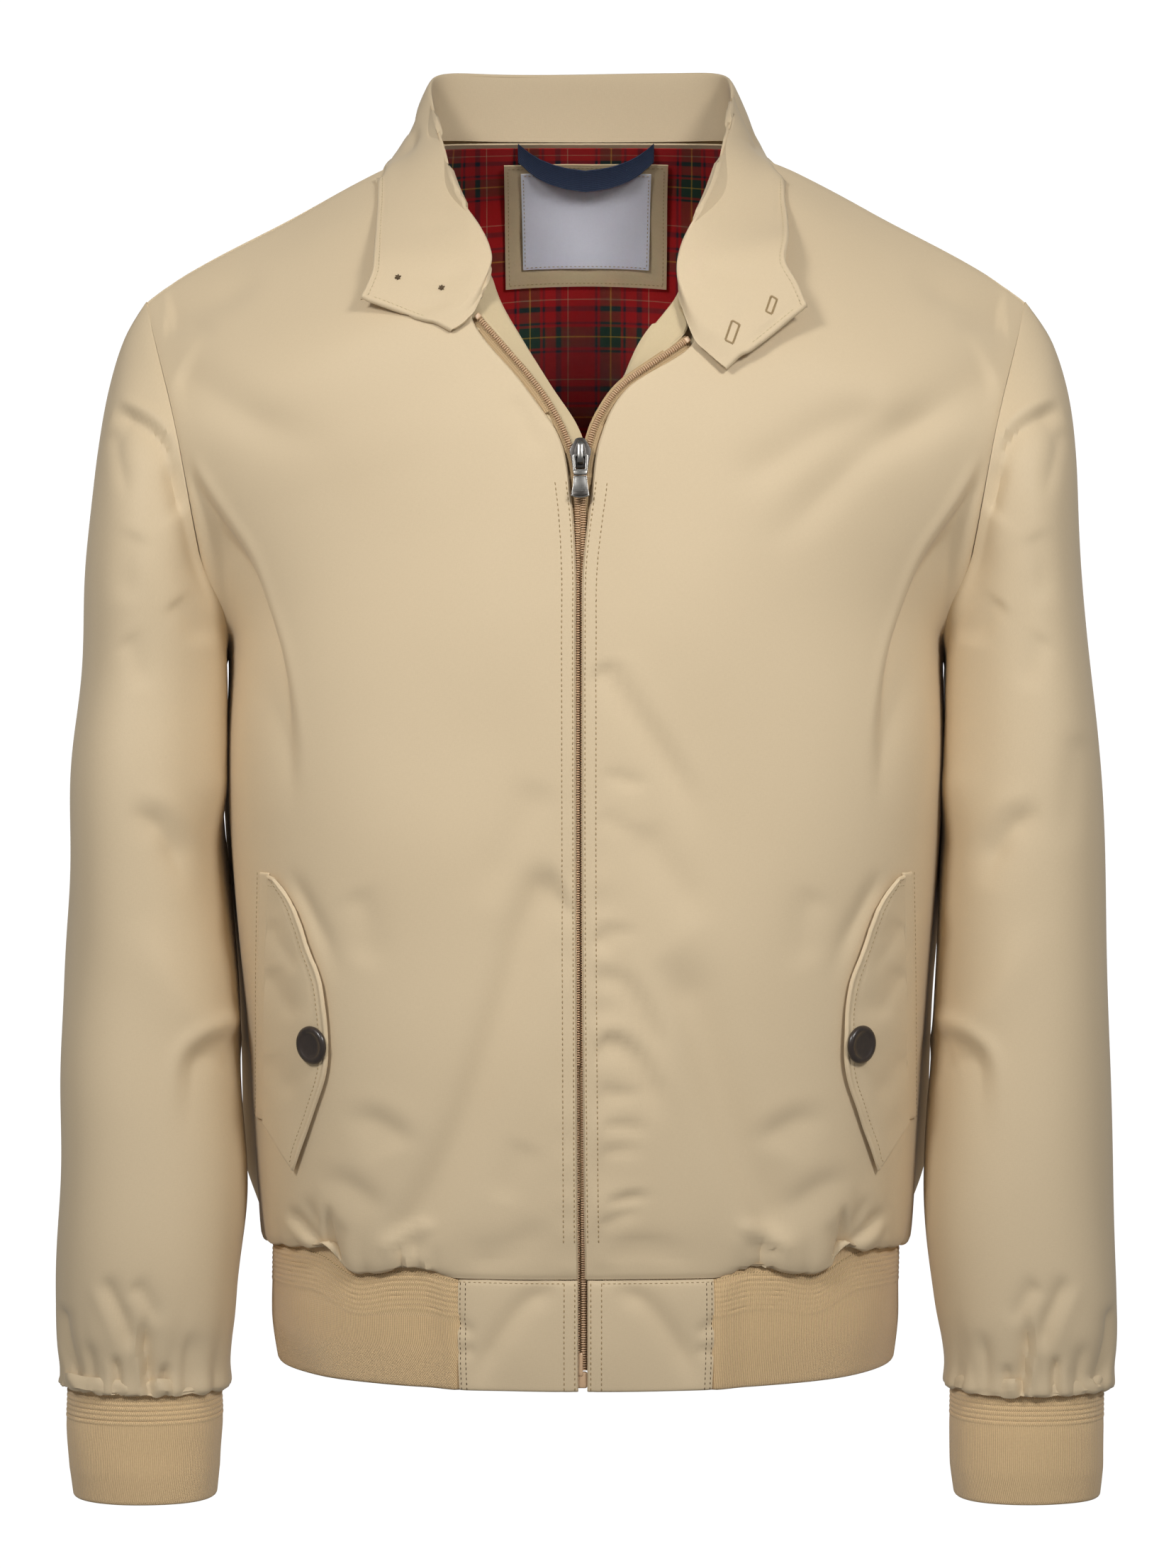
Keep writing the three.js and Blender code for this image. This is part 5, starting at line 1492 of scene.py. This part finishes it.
def zipSide(side):
    v = np.linspace(0, chain["last"], 900)
    line = zipPoint(side, v)
    total = np.concatenate([[0], np.cumsum(length(np.diff(line, axis=0)))])
    first = chain["pitch"] * (0.5 if side > 0 else 1.0)
    beads = []
    for spot in np.arange(first, total[-1], chain["pitch"]):
        k = np.interp(spot, total, v)
        o, a = tapeDirection(side, np.array(k))
        p = behindFront(zipPoint(side, np.array(k)) + o * chain["wide"] * 0.5, 1.9) + np.array([0, 1.1, 0])
        beads.append(placed(p, o, np.cross(a, o) * side, chain["bead"]))
    scattered(f"zip_coil_{sideName[side]}", roundBead, beads, coilPlastic)
    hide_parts(f"zip_teeth_{sideName[side]}")
    vs = np.linspace(0, chain["last"], 180)
    reach = np.array([-1.2 if side > 0 else 0.1, 0.8, 2.2, 4.0, 6.0, 8.0, 10.0, 11.5])
    o, a = tapeDirection(side, vs)
    points = zipPoint(side, vs)[:, None, :] + o[:, None, :] * reach[None, :, None]
    for index in np.ndindex(points.shape[:2]):
        points[index] = behindFront(points[index], tape["behind"]) + np.array([0, tape["sunk"], 0])
    grid = Grid(points, side)
    clothPiece(f"zip_tape_piece_{sideName[side]}", grid, tape["thick"], zipTape,
               [f"zip_tape_{sideName[side]}"])
    end, normal = zipPoint(side, np.array(13.95)), unit(np.cross(a[-1], o[-1]) * side)
    return placed(end + o[-1] * 1.4 + np.array([0, 0.2, 0]), a[-1], normal, tape["stop"])


def block(bm):
    bmesh.ops.create_cube(bm, size=2)
    bmesh.ops.bevel(bm, geom=bm.edges[:], offset=0.35, segments=3, affect="EDGES", profile=0.5)


roundBlock = templateMesh("block", block)
stops = [zipSide(side) for side in (1, -1)]
boxPlace = (zipCentre, -120.3, -631.7)
stops.append(Matrix.Translation(boxPlace) @ Matrix.Diagonal((3.7, 1.6, 4.2, 1)))
stops.append(Matrix.Translation((zipCentre, -121.2, -623.5)) @ Matrix.Diagonal((1.3, 1.4, 6.0, 1)))
endBox = scattered("zip_ends", roundBlock, stops, coilPlastic)
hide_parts("zip_box")
print("zip made")


# The slider and its pull.

sliderPlace = Matrix.Translation((zipCentre, -131.2, -156)) @ Matrix.Rotation(-0.2, 4, "X")


# A plate in x and z between two depths, with an optional window of as many corners.
def addPlate(bm, outline, front, back, bevel, window=None):
    made = []
    outer = [bm.verts.new((x, back, z)) for x, z in outline]
    made += outer
    if window:
        inner = [bm.verts.new((x, back, z)) for x, z in window]
        made += inner
        count = len(outer)
        faces = []
        for k in range(count):
            after = (k + 1) % count
            faces.append(bm.faces.new((outer[k], outer[after], inner[after], inner[k])))
    else:
        faces = [bm.faces.new(outer)]
    grown = bmesh.ops.extrude_face_region(bm, geom=faces)["geom"]
    lifted = [g for g in grown if isinstance(g, bmesh.types.BMVert)]
    bmesh.ops.translate(bm, verts=lifted, vec=(0, front - back, 0))
    mine = set(made) | set(lifted)
    edges = [e for e in bm.edges if e.verts[0] in mine and e.verts[1] in mine and len(e.link_faces) == 2
             and e.calc_face_angle(0) > 0.5]
    bmesh.ops.recalc_face_normals(bm, faces=[f for f in bm.faces if all(v in mine for v in f.verts)])
    bmesh.ops.bevel(bm, geom=edges, offset=bevel, segments=2, affect="EDGES", profile=0.6)


def arc(centre, radius, start, end, count):
    angles = np.radians(np.linspace(start, end, count))
    return [(centre[0] + radius * math.cos(a), centre[1] + radius * math.sin(a)) for a in angles]


def metalPiece(name, build, finish, body, replaced=None):
    bm = bmesh.new()
    build(bm)
    bmesh.ops.transform(bm, matrix=toMetres @ sliderPlace, verts=bm.verts[:])
    bmesh.ops.recalc_face_normals(bm, faces=bm.faces[:])
    mesh = written(bm, name)
    piece = shownObject(name, mesh, finish, body)
    mesh.set_sharp_from_angle(angle=math.radians(40))
    if replaced:
        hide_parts(replaced)
    return piece


def sliderBody(bm):
    half = [(3.0, -7.8), (3.9, -7.2), (4.4, -3.5), (5.4, 0.6), (5.3, 2.2), (2.3, 7.6), (0.8, 8.0)]
    mirrored = [(-x, z) for x, z in reversed(half)]
    crown = mirrored[1:] + half + mirrored[:1]
    addPlate(bm, crown, -0.3, 1.5, 0.35)
    addPlate(bm, [(x * 0.55, z * 0.8) for x, z in crown], -0.7, 0.2, 0.2)
    addPlate(bm, crown, 3.6, 4.6, 0.3)


# The bail: a strap that rises from the crown, runs down over the pull's pin and returns.
def bailStrap(bm):
    bend = [(0.2, 5.6), (-2.0, 5.5), (-3.3, 4.2), (-3.7, 1.5),
            (-3.7, -2.2), (-3.2, -4.4), (-1.8, -5.3), (0.2, -5.4)]
    line = curveThrough(bend, 26)
    ways = unit(np.gradient(line, axis=0))
    half, thick = 1.45, 0.55
    section = [(-1, -0.6), (-0.8, -1), (0.8, -1), (1, -0.6), (1, 0.6), (0.8, 1), (-0.8, 1), (-1, 0.6)]
    rings = []
    for (y, z), (dy, dz) in zip(line, ways):
        across = (-dz, dy)
        ring = []
        for x, t in section:
            ring.append(bm.verts.new((x * half, y + across[0] * t * thick, z + across[1] * t * thick)))
        rings.append(ring)
    for low, high in zip(rings, rings[1:]):
        for k in range(8):
            bm.faces.new((low[k], low[(k + 1) % 8], high[(k + 1) % 8], high[k]))
    bm.faces.new(rings[0])
    bm.faces.new(rings[-1])


pivotPlace = (0, -1.25, -1.5)


def shifted(pairs):
    return [(x + pivotPlace[0], z + pivotPlace[2]) for x, z in pairs]


def pullFrame(bm):
    y = pivotPlace[1]
    outer = arc((-2.6, -0.6), 1.3, 180, 90, 4) + arc((2.6, -0.6), 1.3, 90, 0, 4)
    outer += [(3.7, -7.4), (3.5, -9.4), (-3.5, -9.4), (-3.7, -7.4)]
    inner = arc((-1.8, -1.4), 0.8, 180, 90, 4) + arc((1.8, -1.4), 0.8, 90, 0, 4)
    inner += [(2.6, -6.6), (2.3, -7.3), (-2.3, -7.3), (-2.6, -6.6)]
    addPlate(bm, shifted(outer), y - 0.75, y + 0.6, 0.22, window=shifted(inner))
    bar = [(-3.3, -8.1), (-3.3, -10.2), (3.3, -10.2), (3.3, -8.1)]
    addPlate(bm, shifted(bar), y - 1.15, y + 0.5, 0.3)
    foot = [(-3.3, -10.7), (-3.5, -14.0), (-4.4, -20.2)] + arc((0, -12.6), 9.4, 240, 300, 7)
    foot += [(4.4, -20.2), (3.5, -14.0), (3.3, -10.7)]
    inside = [(-2.7, -11.3), (-2.9, -14.0), (-3.6, -18.2)] + [(x, -18.2) for x in np.linspace(-3.4, 3.4, 7)]
    inside += [(3.6, -18.2), (2.9, -14.0), (2.7, -11.3)]
    sunk = [(-2.8, -11.2), (-3.0, -14.0), (-3.5, -18.0), (3.5, -18.0), (3.0, -14.0), (2.8, -11.2)]
    addPlate(bm, shifted(foot), y - 0.35, y + 0.55, 0.2)
    addPlate(bm, shifted(foot), y - 0.8, y - 0.2, 0.12, window=shifted(inside))
    addPlate(bm, shifted(sunk), y - 0.62, y - 0.2, 0.15)


def pullInset(bm):
    y = pivotPlace[1]
    foot = [(-3.3, -18.5), (-3.7, -20.0)] + arc((0, -12.9), 8.6, 246, 294, 6) + [(3.7, -20.0), (3.3, -18.5)]
    addPlate(bm, shifted(foot), y - 0.85, y - 0.3, 0.1)


metalPiece("slider_body", sliderBody, sliderMetal, "jacket", "slider")
metalPiece("slider_bail", bailStrap, pullMetal, "jacket")
metalPiece("pull_plate", pullFrame, pullMetal, "pull_tab", "pull_tab")
metalPiece("pull_inset", pullInset, sliderMetal, "pull_tab")
print("slider made")


# The pockets.

flapTable = table(
    ["mouthX", "mouthZ", "edgeX", "edgeZ"],
    [
        [164, -374, 160, -375],
        [164.6, -390, 149.2, -390],
        [165.3, -409, 142, -409],
        [166, -430, 134.6, -429],
        [166.6, -452, 131.8, -453],
        [167.2, -473, 132.4, -474],
        [167.8, -493, 140, -498],
        [168.4, -508, 150.5, -529],
    ],
)


def flapGrid(side):
    vs = np.concatenate([[0, 0.01, 0.03, 0.06], np.linspace(0.1, 6.9, 60), [6.94, 6.97, 6.99, 7]])
    across = np.concatenate([np.linspace(0, 0.9, 18), [0.925, 0.945, 0.96, 0.972, 0.982, 0.99, 0.996, 1.0]])
    a, v = np.meshgrid(across, vs)
    row = flapTable(v)
    x, z = mix(row["mouthX"], row["edgeX"], a), mix(row["mouthZ"], row["edgeZ"], a)
    points, normals = np.zeros((*x.shape, 3)), np.zeros((*x.shape, 3))
    for index in np.ndindex(x.shape):
        points[index], normals[index] = onFront(side * x[index], z[index])
    points = softened(points, 12)
    normals = unit(softened(normals, 12))
    points += normals * (2.2 + 1.8 * a)[..., None]
    grid = Grid(points, side)
    toEdge = grid.across(fromEnd=True)
    toFoot, toTop = grid.down(), grid.down(fromEnd=True)
    near = np.minimum(toEdge, toFoot)
    relief = -rolled(np.minimum(near, toTop), 1.3)
    relief += 0.3 * bump(near, 1.4, 0.8) - 0.45 * bump(near, 3.1, 0.6) - 0.3 * bump(near, 6.4, 0.8)
    relief += crease(x, z, [(164, -398), (156, -412), (146, -424)], 1.2, 5, 7, edge=1.6)
    relief += crease(x, z, [(165, -424), (157, -437), (149, -450)], 1.4, 5, 8, edge=1.6)
    relief += crease(x, z, [(166, -470), (158, -480), (148, -488)], 1.0, 6, 8, edge=1.7)
    relief += unevenness(points, 101 + side, 18, 50) * 0.35
    return grid.moved(relief)


def weltGrid(side):
    vs = np.concatenate([[-0.2, -0.19, -0.17], np.linspace(-0.15, 6.75, 60), [6.77, 6.79, 6.8]])
    across = np.array([0, 0.04, 0.1, 0.2, 0.35, 0.5, 0.65, 0.8, 0.9, 0.96, 1.0])
    a, v = np.meshgrid(across, vs)
    row = flapTable(v)
    x, z = row["mouthX"] + 0.2 + 5.4 * a, row["mouthZ"] + 0 * a
    points, normals = np.zeros((*x.shape, 3)), np.zeros((*x.shape, 3))
    for index in np.ndindex(x.shape):
        points[index], normals[index] = onFront(side * x[index], z[index])
    points = points + unit(normals) * 1.5
    grid = Grid(points, -side)
    near = np.minimum(np.minimum(grid.across(), grid.across(True)), np.minimum(grid.down(), grid.down(True)))
    return Grid(points, -side).moved(-rolled(near, 1.0))


def buttonPiece(name, place, normal, radius, replaced):
    profile = [(0.0, 2.5), (4.6, 2.5), (6.2, 2.55), (6.9, 2.9), (7.6, 3.25), (8.6, 3.2), (9.4, 2.8),
               (9.9, 2.1), (10.0, 1.4), (9.8, 0.7), (9.2, 0.2), (8.0, 0.0), (0.0, 0.0)]
    bm = bmesh.new()
    line = [bm.verts.new((r * radius / 10, 0, h)) for r, h in profile]
    edges = [bm.edges.new(pair) for pair in zip(line, line[1:])]
    bmesh.ops.spin(bm, geom=line + edges, cent=(0, 0, 0), axis=(0, 0, 1), angle=2 * math.pi, steps=56)
    bmesh.ops.remove_doubles(bm, verts=bm.verts[:], dist=1e-4)
    turn = Vector(normal).to_track_quat("Z", "Y").to_matrix().to_4x4()
    seat = toMetres @ Matrix.Translation(Vector(place)) @ turn
    bmesh.ops.transform(bm, matrix=seat, verts=bm.verts[:])
    bmesh.ops.recalc_face_normals(bm, faces=bm.faces[:])
    mesh = written(bm, name)
    piece = shownObject(name, mesh, horn)
    mesh.set_sharp_from_angle(angle=math.radians(45))
    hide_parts(replaced)
    return piece


threadRuns = {"tan": [], "pale": [], "brown": []}
flaps = {}
for side in (1, -1):
    which = sideName[side]
    flaps[side] = flapGrid(side)
    clothPiece(f"pocket_flap_piece_{which}", flaps[side], 1.0, shellCloth,
               [f"pocket_flap_{which}"])
    welt = weltGrid(side)
    clothPiece(f"pocket_welt_piece_{which}", welt, 1.0, shellCloth, [f"pocket_welt_{which}"])
    rowsOfFlap = len(flaps[side].points)
    steps = np.linspace(3, rowsOfFlap - 4, 140)
    column = flaps[side].columnAt(steps, 6.4, fromEnd=True)
    threadRuns["tan"] += stitchLine(*flaps[side].at(steps, column), pitch=2.6, size=(0.9, 0.26, 0.2))
    columnSteps = np.linspace(1, flaps[side].points.shape[1] - 5, 40)
    row = flaps[side].rowAt(columnSteps, 6.4)
    threadRuns["pale"] += stitchLine(*flaps[side].at(row, columnSteps), pitch=2.6, size=(0.9, 0.26, 0.2))
    vs = np.linspace(-0.25, 6.9, 90)
    line = flapTable(vs)
    spots = [onFront(side * (x + 7.6), z) for x, z in zip(line["mouthX"], line["mouthZ"])]
    place, normal = np.array([s[0] for s in spots]), np.array([s[1] for s in spots])
    threadRuns["tan"] += stitchLine(place, normal, pitch=2.6, size=(0.9, 0.26, 0.2))
    buttonRow = np.argmin(np.abs(flaps[side].points[:, 20, 2] + 461))
    buttonColumn = flaps[side].columnAt([30], 9.5, True)[0]
    place, normal = flaps[side].at(buttonRow, buttonColumn)
    buttonPiece(f"button_{which}", place + normal * 0.3, normal, 10, f"pocket_button_{which}")
print("pockets made")


# The label and the hanger loop.

def backPatch(reach, top, foot, depth, seed, amount):
    us = np.linspace(-reach, reach, 46)
    vs = np.linspace(foot, top, 36)
    u, v = np.meshgrid(us, vs)
    inner = Grid(backSurface(u, v), -1).moved(-np.full(u.shape, depth))
    return inner.moved(unevenness(inner.points, seed, 25, 60) * amount)


patch = backPatch(0.11, 15.6, 13.2, 5.4, 111, 0.25)
label = backPatch(0.08, 15.46, 13.58, 7.0, 112, 0.3)
clothPiece("label_patch_piece", patch, 0.8, shellInside, ["label_patch"])
clothPiece("label_piece", label, 0.5, labelSatin, ["label"])
loopTable = table(
    ["x", "topY", "topZ", "footY", "footZ"],
    [
        [0, 66.2, 1, 72.2, -10],
        [12, 65.2, 2.6, 71.2, -8.2],
        [23, 62.8, 6, 68.8, -4.6],
        [31, 60.2, 10.4, 66, 0.2],
        [37, 55.8, 15, 61.4, 5],
    ],
)
stations = np.linspace(-4, 4, 61)
across = np.linspace(0, 1, 8)
s, a = np.meshgrid(stations, across, indexing="ij")
row = loopTable(np.abs(s))
y, z = mix(row["topY"], row["footY"], a), mix(row["topZ"], row["footZ"], a)
loop = Grid(xyz(np.sign(s) * row["x"], y, z), -1)
loop = loop.moved(0.35 * np.sin(math.pi * a) + 0.1 * np.sin(s * 9))
clothPiece("hanger_loop_piece", loop, 1.1, navyTape, ["hanger_loop"])
print("label and loop made")


# The stitching.

def runAcross(grid, rows, distance, fromEnd=False, **options):
    column = grid.columnAt(rows, distance, fromEnd)
    return stitchLine(*grid.at(rows, column), **options)


def runDown(grid, columns, distance, fromEnd=False, **options):
    row = grid.rowAt(columns, distance, fromEnd)
    return stitchLine(*grid.at(row, columns), **options)


for side in (1, -1):
    body = fronts[side]
    closed = np.argmin(np.abs(body.points[:, 0, 2] + 168))
    rowsUp = np.linspace(10, closed, 700)
    for inset in (2.6, 8.2):
        threadRuns["tan"] += runAcross(body, rowsUp, inset, pitch=2.7)
        tabRows = np.linspace(2, len(tabs[side].points) - 3, 60)
        threadRuns["tan"] += runAcross(tabs[side], tabRows, inset, pitch=2.7)
    tabColumns = np.linspace(6, tabs[side].points.shape[1] - 2, 50)
    threadRuns["tan"] += runDown(tabs[side], tabColumns, 1.6, True, pitch=2.7, size=(0.9, 0.24, 0.18))
    for inset in (1.3, 4.2):
        tabRows = np.linspace(1, len(tabs[side].points) - 2, 60)
        threadRuns["brown"] += runAcross(tabs[side], tabRows, inset, True, pitch=2.6, size=(0.85, 0.24, 0.2))

collarRows, collarColumns = collar.points.shape[:2]
fineStitch = {"pitch": 2.5, "size": (0.9, 0.25, 0.2)}
threadRuns["pale"] += runAcross(collar, np.linspace(4, collarRows - 5, 400), 4.4, True, **fineStitch)
outerColumns = np.linspace(collarColumns * 0.56, collarColumns - 8, 60)
for fromEnd in (False, True):
    threadRuns["pale"] += runDown(collar, outerColumns, 4.4, fromEnd, **fineStitch)

# A button's thread knots on one collar end and two worked buttonholes on the other.
collarMarks = {
    "knots": [(-96.6, -65.4), (-73.9, -71.2)],  # x and z
    "holes": [(74.9, -94.1, 2.3, 11.5), (95.1, -80, 1.8, 9)],  # x, z, half width and height
    "turn": 18,
}
collarTree = treeOf(["collar_piece"])
for x, z in collarMarks["knots"]:
    place, normal = onFront(x, z, collarTree)
    for angle in (20, 80, 140):
        lean = math.radians(angle)
        along = unit(np.cross(normal, (math.sin(lean), 0, -math.cos(lean))))
        threadRuns["brown"].append(placed(place + normal * 0.5, along, normal, (2.1, 0.6, 0.6)))
for x, z, half, tall in collarMarks["holes"]:
    lean = math.radians(collarMarks["turn"])
    outline = [(-half, -0.44), (-half * 0.9, 0.5), (half, 0.42), (half * 0.8, -0.5), (-half, -0.44)]
    cos, sin = math.cos(lean), math.sin(lean)
    corners = np.array([(a * cos + b * tall * sin, b * tall * cos - a * sin) for a, b in outline])
    walked = np.concatenate([[0], np.cumsum(length(np.diff(corners, axis=0)))])
    spots = np.linspace(0, walked[-1], 60)
    runX, runZ = [np.interp(spots, walked, corners[:, k]) for k in (0, 1)]
    ring = [onFront(x + a, z + b, collarTree) for a, b in zip(runX, runZ)]
    place, normal = np.array([r[0] for r in ring]), np.array([r[1] for r in ring])
    threadRuns["tan"] += stitchLine(place, normal, pitch=0.62, size=(0.34, 0.75, 0.34))

labelStitch = {"pitch": 2.4, "size": (0.8, 0.22, 0.18)}
inside = Grid(patch.points - patch.normals * 0.9, -patch.sign)
for grid, inset in ((inside, 2.0), (Grid(label.points - label.normals * 0.6, -label.sign), 1.2)):
    for fromEnd in (False, True):
        threadRuns["tan"] += runAcross(grid, np.linspace(1, 34, 60), inset, fromEnd, **labelStitch)
        threadRuns["tan"] += runDown(grid, np.linspace(1, 44, 60), inset, fromEnd, **labelStitch)

# Fine zigzag along the gathered hem seam.
rowsOfRib, columnsOfRib = rib.points.shape[:2]
ribColumns = np.linspace(2, columnsOfRib - 3, 700)
below = seamHeight(rib.points[..., 0], rib.points[..., 1]) - rib.points[..., 2]
ribRows = np.array([np.interp(-0.7, -below[:, int(c)], np.arange(rowsOfRib)) for c in ribColumns])
zig = stitchLine(*rib.at(ribRows, ribColumns), pitch=1.7, size=(0.8, 0.2, 0.18), lean=0.8)
threadRuns["tan"] += zig

for name, finish in (("tan", tanThread), ("pale", paleThread), ("brown", brownThread)):
    scattered(f"stitches_{name}", smallBead, threadRuns[name], finish)
    print(name, "stitches", len(threadRuns[name]))


# The studio.

def areaLight(name, place, target, size, power, spread=180):
    data = bpy.data.lights.new(name, "AREA")
    data.shape = "RECTANGLE"
    data.size, data.size_y = size
    data.energy = power
    data.spread = math.radians(spread)
    lamp = bpy.data.objects.new(name, data)
    lamp.location = place
    lamp.rotation_euler = (Vector(target) - Vector(place)).to_track_quat("-Z", "Y").to_euler()
    scene.collection.objects.link(lamp)
    return lamp


# A pale bowl round everything: a floor that curves up into the backdrop.
def studioBowl():
    bm = bmesh.new()
    outline = [(0.0, -1.6), (4.5, -1.6)]
    outline += [(4.5 + 2.5 * math.sin(a), 0.9 - 2.5 * math.cos(a)) for a in np.linspace(0.1, math.pi / 2, 12)]
    outline += [(7.0, 6.0)]
    line = [bm.verts.new((r, 0, z)) for r, z in outline]
    edges = [bm.edges.new(pair) for pair in zip(line, line[1:])]
    bmesh.ops.spin(bm, geom=line + edges, cent=(0, 0, 0), axis=(0, 0, 1), angle=2 * math.pi, steps=64)
    bmesh.ops.remove_doubles(bm, verts=bm.verts[:], dist=1e-5)
    bmesh.ops.recalc_face_normals(bm, faces=bm.faces[:])
    mesh = written(bm, "studio")
    bowl = bpy.data.objects.new("studio", mesh)
    scene.collection.objects.link(bowl)
    finish = Finish("studio_white", Base_Color=(0, 0, 0, 1), Specular_IOR_Level=0,
                    Emission_Color=(1, 1, 1, 1), Emission_Strength=1.05)
    mesh.materials.append(finish.material)
    for ray in ("diffuse", "glossy", "shadow", "transmission"):
        setattr(bowl, f"visible_{ray}", False)


studioBowl()
world = bpy.data.worlds.new("studio_fill")
world.use_nodes = True
background = world.node_tree.nodes["Background"].inputs
background["Color"].default_value = (1, 1, 1, 1)
background["Strength"].default_value = 0.22
scene.world = world
middle = (0, 0, -0.33)
for side, name in ((-1, "key_left"), (1, "key_right")):
    areaLight(name, (side * 1.15, -1.9, 1.0), (side * 0.09, -0.1, -0.27), (0.5, 0.5), 1.46, spread=36)
areaLight("rear", (0, 3.0, 0.3), middle, (2.4, 1.6), 24)
areaLight("neck_fill", (0, -2.5, 0.16), (0, 0.07, -0.055), (0.04, 0.04), 0.006, spread=4.2)

cameraTilt = math.radians(3)
cameraPlace = {"x": 0.0011, "aimZ": -0.331, "away": 2.6}
cameraData = bpy.data.cameras.new("camera")
cameraData.sensor_fit = "VERTICAL"
cameraData.sensor_height = 36
cameraData.lens = 111.35
cameraData.dof.use_dof = False
camera = bpy.data.objects.new("camera", cameraData)
camera.location = (
    cameraPlace["x"],
    -cameraPlace["away"] * math.cos(cameraTilt),
    cameraPlace["aimZ"] + cameraPlace["away"] * math.sin(cameraTilt),
)
camera.rotation_euler = (math.radians(90) - cameraTilt, 0, 0)
scene.collection.objects.link(camera)
scene.camera = camera
scene.view_settings.view_transform = "Standard"
scene.view_settings.look = "None"
